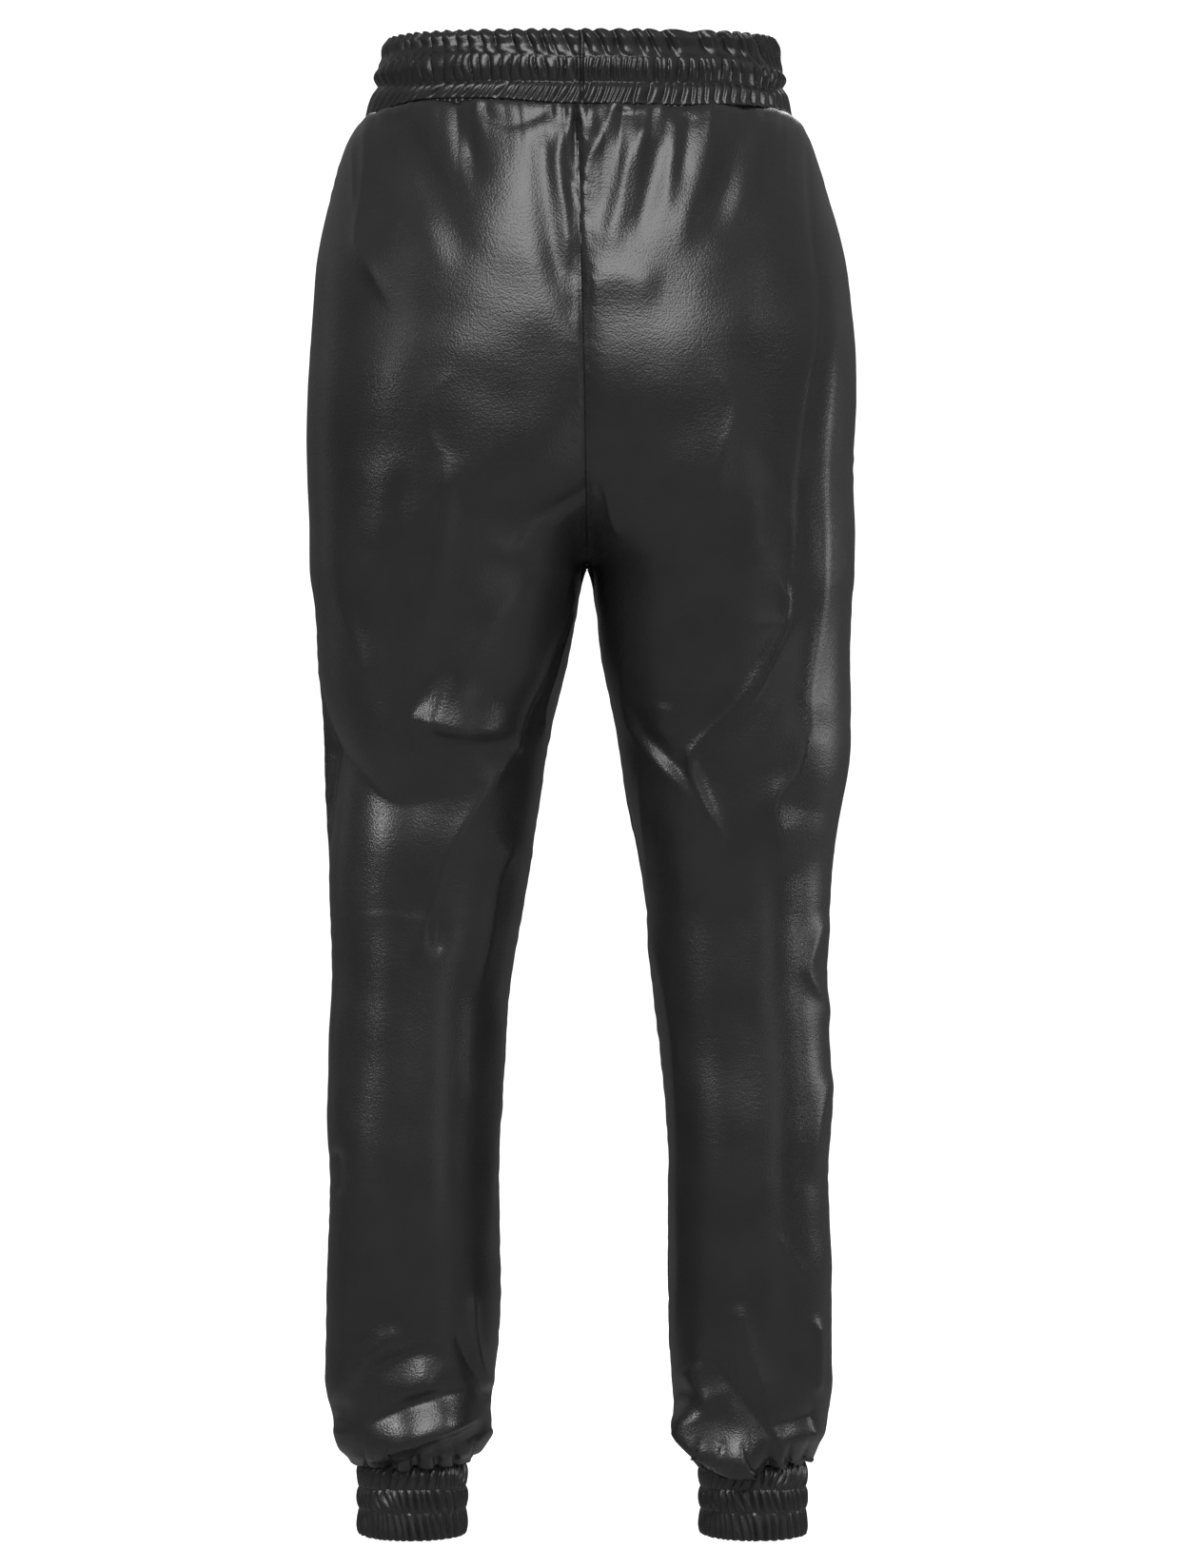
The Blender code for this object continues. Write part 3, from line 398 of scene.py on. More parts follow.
# Creases on the front, which the photograph doesn't show, in mm from the origin
FRONT_CREASES = (
    ("left groin crease", ((-6, -286), (-45, -262), (-95, -226), (-135, -204)), 8, 10, 3.0, 1.5, 0.05, 0.3),
    ("left groin crease low", ((-9, -318), (-52, -300), (-100, -262)), 6, 9, 2.3, 1.5, 0.05, 0.35),
    ("left groin crease high", ((-18, -238), (-60, -208), (-108, -176)), 7, 8, 1.8, 1.7, 0.2, 0.35),
    ("right groin crease", ((6, -292), (48, -266), (92, -234), (140, -196)), 10, 8, 3.1, 1.5, 0.05, 0.3),
    ("right groin crease low", ((8, -312), (58, -290), (104, -270)), 9, 6, 2.1, 1.5, 0.05, 0.35),
    ("right groin crease high", ((20, -226), (66, -196), (112, -168)), 8, 7, 1.8, 1.7, 0.2, 0.35),
    ("left belly fold", ((-58, -24), (-62, -60), (-55, -120)), 6, 6, 1.9, 1.6, 0.0, 0.4),
    ("left belly fold inner", ((-24, -24), (-27, -50), (-24, -92)), 5, 6, 1.7, 1.6, 0.0, 0.4),
    ("left hip fold", ((-92, -24), (-99, -70), (-90, -135)), 7, 7, 2.0, 1.6, 0.0, 0.4),
    ("right belly fold", ((52, -24), (57, -72), (50, -128)), 6, 6, 2.0, 1.6, 0.0, 0.4),
    ("right belly fold inner", ((19, -24), (23, -46), (20, -84)), 5, 6, 1.6, 1.6, 0.0, 0.4),
    ("right hip fold", ((88, -24), (94, -66), (88, -118)), 7, 7, 2.0, 1.6, 0.0, 0.4),
    ("left thigh line", ((-120, -250), (-128, -330), (-122, -420), (-112, -500)), 8, 9, 2.3, 1.5, 0.2, 0.3),
    ("left thigh line inner", ((-62, -330), (-58, -410), (-70, -490)), 7, 8, 1.9, 1.7, 0.3, 0.3),
    ("right thigh line", ((124, -260), (132, -350), (126, -440), (114, -505)), 9, 8, 2.3, 1.5, 0.2, 0.3),
    ("right thigh line inner", ((60, -345), (64, -420), (78, -480)), 8, 7, 1.9, 1.7, 0.3, 0.3),
    ("left knee fold", ((-164, -512), (-128, -540), (-88, -546), (-48, -522)), 22, 9, -3.6, 1.5, 0.1, 0.1),
    ("left knee fold low", ((-158, -592), (-118, -612), (-70, -600)), 12, 16, 3.0, 1.4, 0.1, 0.2),
    ("left knee cross", ((-60, -548), (-92, -578), (-120, -640)), 6, 7, 2.3, 1.4, 0.1, 0.3),
    ("right knee fold", ((50, -528), (92, -552), (130, -548), (162, -518)), 24, 9, -3.7, 1.5, 0.1, 0.1),
    ("right knee fold low", ((64, -606), (112, -622), (156, -604)), 12, 16, 3.0, 1.4, 0.2, 0.1),
    ("right knee cross", ((64, -556), (98, -590), (118, -655)), 6, 7, 2.3, 1.4, 0.1, 0.3),
    ("left shin line", ((-96, -660), (-90, -740), (-100, -815)), 7, 8, 1.9, 1.6, 0.3, 0.3),
    ("left shin line outer", ((-140, -690), (-146, -770), (-138, -830)), 6, 7, 1.8, 1.6, 0.3, 0.3),
    ("right shin line", ((98, -670), (94, -745), (104, -820)), 7, 8, 1.9, 1.6, 0.3, 0.3),
    ("right shin line outer", ((138, -700), (144, -775), (136, -835)), 7, 6, 1.8, 1.6, 0.3, 0.3),
    ("left ankle dome", ((-156, -872), (-140, -848), (-112, -838), (-80, -846)), 9, 5, -2.8, 1.6, 0.1, 0.2),
    ("left ankle puff", ((-146, -884), (-112, -874), (-74, -866)), 8, 10, 4.2, 1.6, 0.1, 0.1),
    ("left ankle slant", ((-84, -806), (-104, -834), (-140, -862)), 6, 6, 1.8, 1.6, 0.2, 0.2),
    ("right ankle dome", ((74, -858), (98, -842), (126, -840), (152, -858)), 9, 5, -2.8, 1.6, 0.2, 0.1),
    ("right ankle puff", ((78, -876), (112, -880), (148, -866)), 8, 10, 4.2, 1.6, 0.1, 0.1),
    ("right ankle slant", ((88, -812), (110, -836), (142, -850)), 6, 6, 1.8, 1.6, 0.2, 0.2),
)
CREASE_EXTENT = 2.6      # a crease is worked out as far as this many times its reach
CREASE_ROUNDING = 0.06   # its crest is rounded over this share of its reach
SIDE_FADE = 0.012        # it dies out over this distance at the side seam, and not to nothing
SIDE_FADE_START = -0.2   # where that fade starts, as a share of it

# Slight unevenness everywhere: size across and height
UNDULATION_COLUMNS = ("size", "height")
UNDULATION = ((0.110, 0.0006), (0.050, 0.00012))
UNDULATION_SEED = {"back": 11, "front": 16}
WAVES = 16               # how many waves make up an unevenness, and their sizes as shares of its size
WAVE_SIZES = (0.6, 1.5)

SEAM_DEPTH = 0.0010      # a seam's groove, and the waist seam's share of its depth
SEAM_WIDTH = 0.0020
WAIST_SEAM_SHARE = 0.7
PUCKER_HEIGHT = 0.00015
PUCKER_SIZE = 0.016
PUCKER_REACH = 0.008
PUCKER_SEED = 51
GATHER_STEP = 0.0095     # gathers below the waist seam
GATHER_HEIGHT = 0.0012
GATHER_REACH = 0.016
GATHER_SPAN = 0.17       # they lie as far as this to each side
GATHER_LEAN = 0.10       # they wander sideways by this share of the way down, over this size
GATHER_LEAN_SIZE = 0.03
GATHER_SEED = {"back": 31, "front": 37}
GATHER_SHARES_SEED = 43
GATHER_HEIGHTS = (0.1, 1.3)          # least and most, as shares of the height and the reach above
GATHER_REACHES = (0.5, 1.8)
GAPS = (0.62, 1.38)                  # least and most space between uneven places, as a share of the step

# The bloused ankle ends in lobes over the cuff: where each is and how far it droops, in mm, seen from the back
LOBES = {
    ("left", "back"): ((-152, 0.0), (-135, -1.0), (-119, 2.2), (-102, 0.2), (-89.5, -1.0), (-78, -2.0), (-66, 0.0)),
    ("right", "back"): ((66, 0.0), (80, -1.5), (89, 0.0), (101, 0.0), (114.5, 4.2), (132, 0.5), (142.5, -1.0),
                        (156, 0.0)),
    ("left", "front"): ((-152, 0.0), (-138, 0.5), (-122, 1.5), (-109, 0.0), (-93, 2.5), (-80, 0.0), (-66, 0.0)),
    ("right", "front"): ((66, 0.0), (79, 0.5), (94, 2.0), (106, 0.0), (121, 1.5), (137, 0.5), (156, 0.0)),
}
LOBE_NOTCH = 0.0024      # how far the hem rises between two lobes
LOBE_DEPTH = 0.0026      # and how far it sinks in there
LOBE_START = 0.858       # where down the leg the lobes start, and where they are fully shaped
LOBE_FULL = 0.885
NOTCH_POWER = 2          # a higher power makes a narrower notch or tuck
TUCK_POWER = 1.5

# The shirring. Crests of its ridges, in pixels of the photograph; the rest of the band is filled unevenly.
BAND_CRESTS = {
    "bottom": (400, 408, 415.3, 422.2, 428.9, 440.4, 448.6, 455.2, 467.3, 477.6, 490, 500.3, 508.5, 515.4, 522.7, 534.8,
               540.9, 549.3, 555, 561.8, 567.8, 574.5, 581.7, 590.8, 600, 607.2, 620, 627, 636.5, 643, 647.7, 653.4,
               659.8, 670, 685, 699, 707, 719, 727, 733.4, 742, 752.7, 759.3, 769.5, 780, 790, 800, 809, 816),
    "middle": (400, 408, 415, 421.9, 430, 436.8, 446, 457.6, 471, 480.6, 488, 498, 508.5, 519.4, 528, 539.4, 549, 558.7,
               566.6, 577.5, 586.6, 594.4, 610, 614, 620.7, 626.8, 633.4, 639, 645, 649.8, 658, 663, 668, 673.4, 678.8,
               692.7, 698, 705, 717.6, 728, 740, 744.8, 751, 764, 774, 783.5, 797, 806.5, 813, 819),
    "top": (404, 412, 421, 430, 440, 452, 464, 478, 491.5, 507, 524, 542, 561, 575, 584, 601, 621, 637.5, 658, 678,
            690, 716, 756, 774, 786, 797, 809, 814, 819),
}
# Each tier: how far apart its ridges are, how they lean, how deep the valleys are, the tier's free edge (-1 for its
# bottom, 1 for its top, 0 for none), and how wide its ridges are at its two ends (smaller is wider)
TIER_COLUMNS = ("name", "step", "lean", "height", "edge", "narrow_low", "narrow_high")
BAND_TIERS = (
    ("bottom", 0.0060, -0.40, 0.0027, 0, 0.8, 0.8),
    ("middle", 0.0056, 0.04, 0.0028, 0, 0.8, 0.8),
    ("top", 0.0095, 0.42, 0.0040, 1, 1.4, 0.6),
)
CUFF_TIERS = (
    ("bottom", 0.0060, 0.22, 0.0028, -1, 0.6, 1.2),
    ("middle", 0.0056, 0.30, 0.0027, 0, 0.8, 0.8),
    ("top", 0.0064, -0.35, 0.0025, 0, 0.8, 0.8),
)
VALLEY = 0.70            # where a ridge's valley lies, as a share of the way to the next crest
SWELL_POWER = 0.55       # how squarely a tier puffs out between two stitch lines, and up to a free edge
FREE_SWELL_POWER = 0.8
FULLEST = 0.85           # where a tier with a free edge is fullest, as a share of the way from its stitch line
EDGE_ROLL = 0.20         # and how much of that is lost again at the edge
SWAY = 0.0007            # how far the ridges wander sideways, over what size, and how that runs on with depth
SWAY_SIZE = 0.028
SWAY_SLANT = 0.7
SWAY_SEED = 90
VALLEY_DEPTHS = (0.70, 1.15)         # least and most, as shares of the tier's own
VALLEY_SEED = 100
RIDGE_WIDTHS = (0.5, 1.4)            # a wider ridge has deeper valleys: by its width, held between these shares, and
RIDGE_POWER = 0.6                    # to this power
BAND_SEED = 200
CUFF_SEED = {"left": 300, "right": 340}
# The two kinds of ring: the thickness of its cloth, how much more of it lies further in, how far its free edge rolls
# over, how deep that edge's scallops are, and the share of a ridge that lies below their middle
RINGS = {
    "waistband": dict(wall=BAND_WALL, thicker=0.0012, roll=0.0013, scallop=0.0016, middle=0.6),
    "cuff": dict(wall=0.0024, thicker=0.0010, roll=-0.0011, scallop=-0.0009, middle=0.5),
}
THICKER_ROWS = 2         # the cloth reaches that thickness in so many rows
INSIDE_SHARES = (0.8, 0.45)          # how much of the ridges shows inside, at the free edge and further in
SCALLOP_REACH = {"waistband": 0.5, "cuff": 0.6}      # how far the scallops are felt, in tiers
CUFF_DRAW = 0.0012       # how far the cuff's top draws in, over half a tier
CUFF_DRAW_REACH = 0.5
HEM_DRAW = 0.0006        # and its hem
HEM_DRAW_REACH = 0.35
# The waistband's edges and stitch lines: their heights in mm, by the angle in degrees from the middle of the back
BAND_LINES_COLUMNS = ("angle", "seam", "low", "high", "top")
BAND_LINES = (
    (-180, -23.4, -8.5, 8.0, 24.8), (-135, -22.0, -6.5, 9.5, 27.0), (-90, -23.5, 0.5, 11.0, 29.6),
    (-65, -20.0, -3.5, 12.4, 28.6), (-46, -16.7, -5.4, 12.9, 27.2), (-25, -18.8, -7.1, 10.6, 25.4),
    (0, -23.4, -8.7, 7.5, 24.4), (25, -23.0, -8.2, 7.8, 25.2), (46, -20.2, -5.7, 10.4, 27.0),
    (65, -19.6, -6.1, 7.9, 28.4), (90, -23.5, 0.0, 8.3, 29.6), (135, -22.0, -6.5, 9.5, 27.0),
    (180, -23.4, -8.5, 8.0, 24.8),
)
BAND_LEVELS = (BAND_BOTTOM, 0.0, 0.0095, BAND_TOP)   # where the solid's form is read for each of those lines
WAIST_REACH = 0.035      # how far below the waist seam the cloth follows its rise and fall
CUFF_LINES_CENTRE = (0.360, 0.680)   # heights of a cuff's stitch lines, as shares of its height, at its middle
CUFF_LINES_SIDE = (0.330, 0.620)     # and at its sides
STITCH_PINCH = 0.0020    # depth of the pinch along a stitch line
CREST_RISE = 0.0005      # how far the ridges stand out from the solid's form
CREST_WAVES = ((7.0, 0.0), (19.0, 1.0))      # and how that varies: waves in a turn, and where they start
CREST_WAVE_HEIGHT = 0.4
JOIN_DEPTH = 0.0022      # the groove where the waistband's ends are joined, at the middle of the back
JOIN_WIDTH = 0.0011
STITCH_LINES = (1, 2)    # the levels of a shirred ring's stitch lines
STITCH_PITCH = 0.0017
STITCH_LENGTH = 0.0012
STITCH_RADIUS = 0.00028
STITCH_SIDES = 4
STITCH_RINGS = ((-0.5, 0.35), (0.0, 1.0), (0.5, 0.35))       # how far along each ring of a stitch is, and how fat
STITCH_AHEAD = 0.25      # a stitch's direction is read this share of the pitch further on
MOUTH_STITCH_INSET = 0.006
MOUTH_STITCH_RISE = 0.0001
MOUTH_STITCH_PITCH = 0.0034
MOUTH_STITCH_LENGTH = 0.0024
MOUTH_STITCH_AHEAD = 0.001
MOUTH_STITCH_ENDS = (0.004, 0.002)   # how far the first and the last stitch stay from the mouth's ends
POCKET_WAVE = 0.0004     # unevenness of the pocket's back
POCKET_WAVE_SIZE = 0.06
POCKET_SEED = 71


def column(table, columns, name):
    """One named column of a table, as an array."""
    return np.array([row[columns.index(name)] for row in table], dtype=float)


def rows_of(table, columns):
    """The rows of a table, each as a dict by the names of its columns."""
    return [dict(zip(columns, row)) for row in table]


def smooth_read(stations, values, at):
    """The value at a station, on a curve through the table's values that never swings past them."""
    step = np.diff(stations)
    slope = np.diff(values) / step
    tangent = np.zeros(len(values))
    tangent[0] = slope[0]
    tangent[-1] = slope[-1]
    before = slope[:-1]
    after = slope[1:]
    same_way = before * after > 0.0
    weight_before = 2.0 * step[1:] + step[:-1]
    weight_after = step[1:] + 2.0 * step[:-1]
    safe_before = np.where(same_way, before, 1.0)
    safe_after = np.where(same_way, after, 1.0)
    mean = (weight_before + weight_after) / (weight_before / safe_before + weight_after / safe_after)
    tangent[1:-1] = np.where(same_way, mean, 0.0)
    at = np.clip(at, stations[0], stations[-1])
    k = np.clip(np.searchsorted(stations, at, side="right") - 1, 0, len(step) - 1)
    t = (at - stations[k]) / step[k]
    return ((1 + 2 * t) * (1 - t) ** 2 * values[k] + t * (1 - t) ** 2 * step[k] * tangent[k]
            + t * t * (3 - 2 * t) * values[k + 1] + t * t * (t - 1) * step[k] * tangent[k + 1])


def reader(table, columns):
    """A function that reads any named column of the table at a place along its first column."""
    stations = column(table, columns, columns[0])
    values = {name: column(table, columns, name) for name in columns[1:]}
    return lambda name, at: smooth_read(stations, values[name], at)


outline = reader(OUTLINE, OUTLINE_COLUMNS)
profile = reader(PROFILE, PROFILE_COLUMNS)
seam_lean = reader(SEAM_LEAN, SEAM_LEAN_COLUMNS)
band = reader(BAND, BAND_COLUMNS)
band_lines = reader(BAND_LINES, BAND_LINES_COLUMNS)


def smoothstep(low, high, value):
    """0 below low, 1 above high, and a soft step between."""
    t = np.clip((value - low) / (high - low), 0.0, 1.0)
    return t * t * (3.0 - 2.0 * t)


def half_section(side, face, down):
    """Half of a leg's section: points from the side seam round to the centre seam, or to the inseam."""
    outer = 0.5 * (outline("left_outer", down) + outline("right_outer", down))
    inner = 0.5 * (outline("left_inner", down) + outline("right_inner", down))
    seam = profile("seam", down)
    depth = abs(profile(face, down) - seam)
    power = 2.0 / profile("square", down)
    turn = np.linspace(0.0, np.pi, SECTION_POINTS)
    across = 0.5 * (outer + inner) + 0.5 * (outer - inner) * np.sign(np.cos(turn)) * np.abs(np.cos(turn)) ** power
    out = depth * np.abs(np.sin(turn)) ** power
    if inner < 0.0:
        across, out = stop_at_centre(across, out, down)
        weight = (across / outer) ** 2
        shift_inner = 0.0
    else:
        weight = (across - inner) / (outer - inner)
        shift_inner = outline(side + "_inner", down) - inner
    across = across + shift_inner * (1.0 - weight) + (outline(side + "_outer", down) - outer) * weight
    x = SIDES[side] * across + seam_lean("shift", down) * (1.0 - smoothstep(0.0, LEAN_REACH, across))
    return np.column_stack([x, seam + FACES[face] * out, np.full(len(x), outline("z", down))])


def stop_at_centre(across, out, down):
    """End a section on the centre plane, with the cloth spanning the cleft in place of a crease."""
    peak = 0.5 * (across[0] + across[-1])
    span = BRIDGE_WIDTH * smoothstep(0.0, BRIDGE_FADE, CROTCH_DOWN - down)
    kept = np.append(across[across > 0.0], 0.0)
    lift = span * np.clip(1.0 - (kept / peak) ** 2, 0.0, 1.0) ** 2
    return kept, np.interp(np.hypot(kept, lift), across[::-1], out[::-1])


def lengths_along(points):
    """The distance along a polyline to each of its points."""
    return np.concatenate([[0.0], np.cumsum(np.linalg.norm(np.diff(points, axis=0), axis=1))])


class LegForm:
    """The outer form of one leg's back or front, read by distance from the side seam and place down the leg."""

    def __init__(self, side, face):
        above = CROTCH_DOWN * (1.0 - np.linspace(1.0, 0.0, FORM_SECTIONS) ** 2)
        below = np.linspace(CROTCH_DOWN, OUTLINE[-1][0], FORM_SECTIONS)[1:]
        self.stations = np.concatenate([above, below])
        share = np.linspace(0.0, 1.0, FORM_POINTS)
        self.widths = []
        self.points = []
        for down in self.stations:
            section = half_section(side, face, down)
            length = lengths_along(section)
            self.widths.append(length[-1])
            self.points.append([np.interp(share * length[-1], length, section[:, k]) for k in range(3)])
        self.widths = np.array(self.widths)
        self.points = np.array(self.points).transpose(0, 2, 1)
        self.rise = lengths_along(self.points[:FORM_SECTIONS, -1])
        self.extra = self.rise[-1] - CROTCH_DOWN

    def at(self, distance, down):
        """Points of the form."""
        place = np.interp(down, self.stations, np.arange(len(self.stations)))
        k = np.minimum(place.astype(int), len(self.stations) - 2)
        t = (place - k)[..., None]
        return (1.0 - t) * self.on_section(k, distance) + t * self.on_section(k + 1, distance)

    def on_section(self, k, distance):
        """Points of the numbered sections."""
        place = np.clip(distance / self.widths[k], 0.0, 1.0) * (FORM_POINTS - 1)
        j = np.minimum(place.astype(int), FORM_POINTS - 2)
        t = (place - j)[..., None]
        return (1.0 - t) * self.points[k, j] + t * self.points[k, j + 1]

    def inner_edge(self, down):
        """Where a row that starts at a place down the side seam ends: place, distance, and whether on the rise."""
        run = down + self.extra * smoothstep(0.0, LEVEL_ROWS, down)
        on_rise = run < self.rise[-1]
        place = np.where(on_rise, np.interp(run, self.rise, self.stations[:FORM_SECTIONS]), run - self.extra)
        return place, np.interp(place, self.stations, self.widths), on_rise


def row_stations(face):
    """Where the rows start on the side seam. There is an odd number of them, for the coarser inner layer."""
    stations = column(ROW_SPACING, ROW_SPACING_COLUMNS, "down")
    spacing = column(ROW_SPACING, ROW_SPACING_COLUMNS, "spacing") * ROW_SCALE[face]
    fine = np.linspace(0.0, OUTLINE[-1][0], FINE_POINTS)
    count = np.concatenate([[0.0], np.cumsum(np.diff(fine) / np.interp(fine[1:], stations, spacing))])
    rows = 2 * int(round(0.5 * count[-1])) + 1
    return np.interp(np.linspace(0.0, count[-1], rows), count, fine)


def column_shares(face):
    """Where the columns lie between a panel's two edges, closer together at the edges."""
    even = np.linspace(0.0, 1.0, PANEL_ACROSS[face])
    return even - EDGE_CROWDING * np.sin(2.0 * np.pi * even) / (2.0 * np.pi)


def mouth_distance(down):
    """How far the pocket mouth's edge lies from the side seam."""
    return MOUTH_START * np.clip(1.0 - down / MOUTH_DROP, 0.0, 1.0)


def normals_of(grid, side, face):
    """Unit normals of a panel's grid, out of the garment."""
    along = np.gradient(grid, axis=0)
    across = np.gradient(grid, axis=1)
    normal = np.cross(along, across) * SIDES[side] * FACES[face]
    return normal / np.linalg.norm(normal, axis=2, keepdims=True)


def seen(points, face):
    """Where the photograph's plane shows each point. The front is seen square on, in its own sizes."""
    if face == "front":
        return points[..., 0], points[..., 2]
    nearness = -CAMERA_PLACE[1] / (points[..., 1] - CAMERA_PLACE[1])
    across = CAMERA_PLACE[0] + (points[..., 0] - CAMERA_PLACE[0]) * nearness
    up = CAMERA_PLACE[2] + (points[..., 2] - CAMERA_PLACE[2]) * nearness
    return across, up


def from_photo(path):
    """A path through pixels of the photograph, in metres on its plane."""
    pixels = np.array(path, dtype=float)
    return np.column_stack([(pixels[:, 0] - ORIGIN_PIXEL[0]) * PIXEL, (ORIGIN_PIXEL[1] - pixels[:, 1]) * PIXEL])


def rounded(path, steps=7):
    """A smooth curve through the points of a path."""
    points = np.vstack([2 * path[0] - path[1], path, 2 * path[-1] - path[-2]])
    t = np.linspace(0.0, 1.0, steps, endpoint=False)[:, None]
    runs = []
    for a, b, c, d in zip(points[:-3], points[1:-2], points[2:-1], points[3:]):
        runs.append(b + 0.5 * t * (c - a + t * (2 * a - 5 * b + 4 * c - d + t * (3 * (b - c) + d - a))))
    return np.vstack(runs + [path[-1:]])


def crease_height(across, up, path, crease):
    """How far one crease moves each point out."""
    line = rounded(path)
    length = lengths_along(line)
    widest = CREASE_EXTENT * MM * max(crease["left"], crease["right"])
    near = ((across > line[:, 0].min() - widest) & (across < line[:, 0].max() + widest)
            & (up > line[:, 1].min() - widest) & (up < line[:, 1].max() + widest))
    px, py = across[near], up[near]
    best = np.full(px.shape, np.inf)
    signed = np.zeros(px.shape)
    along = np.zeros(px.shape)
    for k in range(len(line) - 1):
        start, run = line[k], line[k + 1] - line[k]
        rx, ry = px - start[0], py - start[1]
        t = np.clip((rx * run[0] + ry * run[1]) / (run @ run), 0.0, 1.0)
        distance = np.hypot(rx - t * run[0], ry - t * run[1])
        closer = distance < best
        best = np.where(closer, distance, best)
        signed = np.where(closer, run[0] * ry - run[1] * rx, signed)
        along = np.where(closer, length[k] + t * (length[k + 1] - length[k]), along)
    reach = MM * np.where(signed < 0.0, crease["left"], crease["right"])
    share = along / length[-1]
    shape = np.exp(-(np.sqrt(best ** 2 + (CREASE_ROUNDING * reach) ** 2) / reach) ** crease["point"])
    if crease["fade_in"]:
        shape = shape * smoothstep(0.0, crease["fade_in"], share)
    if crease["fade_out"]:
        shape = shape * smoothstep(0.0, crease["fade_out"], 1.0 - share)
    height = np.zeros(across.shape)
    height[near] = MM * crease["height"] * shape
    return height


def ripple(u, v, size, seed):
    """Smooth irregular waves, about 1 high and size across."""
    random = np.random.default_rng(seed)
    total = np.zeros(np.broadcast(u, v).shape)
    for _ in range(WAVES):
        angle, phase = random.uniform(0.0, 2.0 * np.pi, 2)
        scale = 2.0 * np.pi * random.uniform(*WAVE_SIZES) / size
        total += np.sin(scale * (u * np.cos(angle) + v * np.sin(angle)) + phase)
    return total / np.sqrt(0.5 * WAVES)


def uneven(start, end, step, seed):
    """Places from start to end, about a step apart and unevenly spaced."""
    random = np.random.default_rng(seed)
    count = max(2, int(round((end - start) / step)))
    gaps = random.uniform(*GAPS, count)
    return start + (end - start) * np.concatenate([[0.0], np.cumsum(gaps) / gaps.sum()])


def gathered(at, crests):
    """Rounded ridges with sharp troughs: 1 on each crest, 0 midway between two. Also which crest is nearest."""
    k = np.clip(np.searchsorted(crests, at, side="right") - 1, 0, len(crests) - 2)
    t = np.clip((at - crests[k]) / (crests[k + 1] - crests[k]), 0.0, 1.0)
    return np.abs(np.cos(np.pi * t)), np.where(t < 0.5, k, k + 1)


def cloth_height(points, face, down, from_side, from_inner, at_mouth):
    """How far creases, gathers, puckers and seams move each point of a panel out."""
    across, up = seen(points, face)
    height = np.zeros(across.shape)
    for crease in rows_of(BACK_CREASES if face == "back" else FRONT_CREASES, CREASE_COLUMNS):
        path = from_photo(crease["path"]) if face == "back" else MM * np.array(crease["path"], dtype=float)
        height += crease_height(across, up, path, crease)
    for k, wave in enumerate(rows_of(UNDULATION, UNDULATION_COLUMNS)):
        height += wave["height"] * ripple(across, up, wave["size"], UNDULATION_SEED[face] + k)
    crests = uneven(-GATHER_SPAN, GATHER_SPAN, GATHER_STEP, GATHER_SEED[face])
    ridge, near = gathered(across + GATHER_LEAN * down * np.sin(across / GATHER_LEAN_SIZE), crests)
    random = np.random.default_rng(GATHER_SHARES_SEED)
    strong = random.uniform(*GATHER_HEIGHTS, len(crests))[near]
    reach = GATHER_REACH * random.uniform(*GATHER_REACHES, len(crests))[near]
    height += GATHER_HEIGHT * strong * ridge * np.exp(-down / reach)
    side_distance = np.where(at_mouth, SIDE_FADE, from_side)
    height *= smoothstep(SIDE_FADE_START * SIDE_FADE, SIDE_FADE, side_distance)
    pucker = ripple(across + up, up, PUCKER_SIZE, PUCKER_SEED)
    for distance in (from_side, from_inner):
        height += PUCKER_HEIGHT * pucker * np.exp(-(distance / PUCKER_REACH) ** 2)
        height -= SEAM_DEPTH * np.exp(-(distance / SEAM_WIDTH) ** 2)
    height -= WAIST_SEAM_SHARE * SEAM_DEPTH * np.exp(-(down / SEAM_WIDTH) ** 2)
    return height


def hem_lobes(points, side, face, down):
    """Shape the bloused ankle into lobes that droop over the cuff, with tucks between them."""
    across, _ = seen(points, face)
    table = np.array(LOBES[side, face], dtype=float) * MM
    ridge, near = gathered(across, table[:, 0])
    tuck = smoothstep(LOBE_START, LOBE_FULL, down)
    centre = np.array([*CUFF_CENTRE[side], 0.0])
    outward = (points - centre) * np.array([1.0, 1.0, 0.0])
    outward /= np.linalg.norm(outward, axis=2, keepdims=True)
    moved = points - LOBE_DEPTH * ((1.0 - ridge) ** TUCK_POWER * tuck)[..., None] * outward
    moved[..., 2] += tuck * (LOBE_NOTCH * (1.0 - ridge) ** NOTCH_POWER - table[near, 1] * ridge)
    return moved


def meet_waistband(points, down):
    """Raise a panel's top to the waistband's lower edge, which isn't level."""
    wide = 0.5 * (band("left", BAND_BOTTOM) + band("right", BAND_BOTTOM))
    deep = np.where(points[..., 1] > 0.0, band("front", BAND_BOTTOM), band("back", BAND_BOTTOM))
    angle = np.degrees(np.arctan2(points[..., 0] / wide, -points[..., 1] / deep))
    rise = MM * band_lines("seam", angle) - BAND_BOTTOM
    points[..., 2] += rise * (1.0 - smoothstep(0.0, WAIST_REACH, down))
    return points


def keep_seams(points, side, face, centre, seam):
    """Keep a panel on its own side of its seams, where it meets its neighbour."""
    reach = SIDES[side] * (points[:, :, 0] - centre)
    out = FACES[face] * (points[:, :, 1] - seam)
    points[:, :, 0] = centre + SIDES[side] * np.maximum(reach, 0.0)
    points[:, :, 1] = seam + FACES[face] * np.maximum(out, 0.0)
    return points


def flatten_edge_normals(normal, on_rise):
    """Turn the normals along the seams into the seam's own plane."""
    normal = normal.copy()
    normal[:, 0, 1] = 0.0
    normal[on_rise, -1, 0] = 0.0
    normal[~on_rise, -1, 1] = 0.0
    return normal / np.linalg.norm(normal, axis=2, keepdims=True)


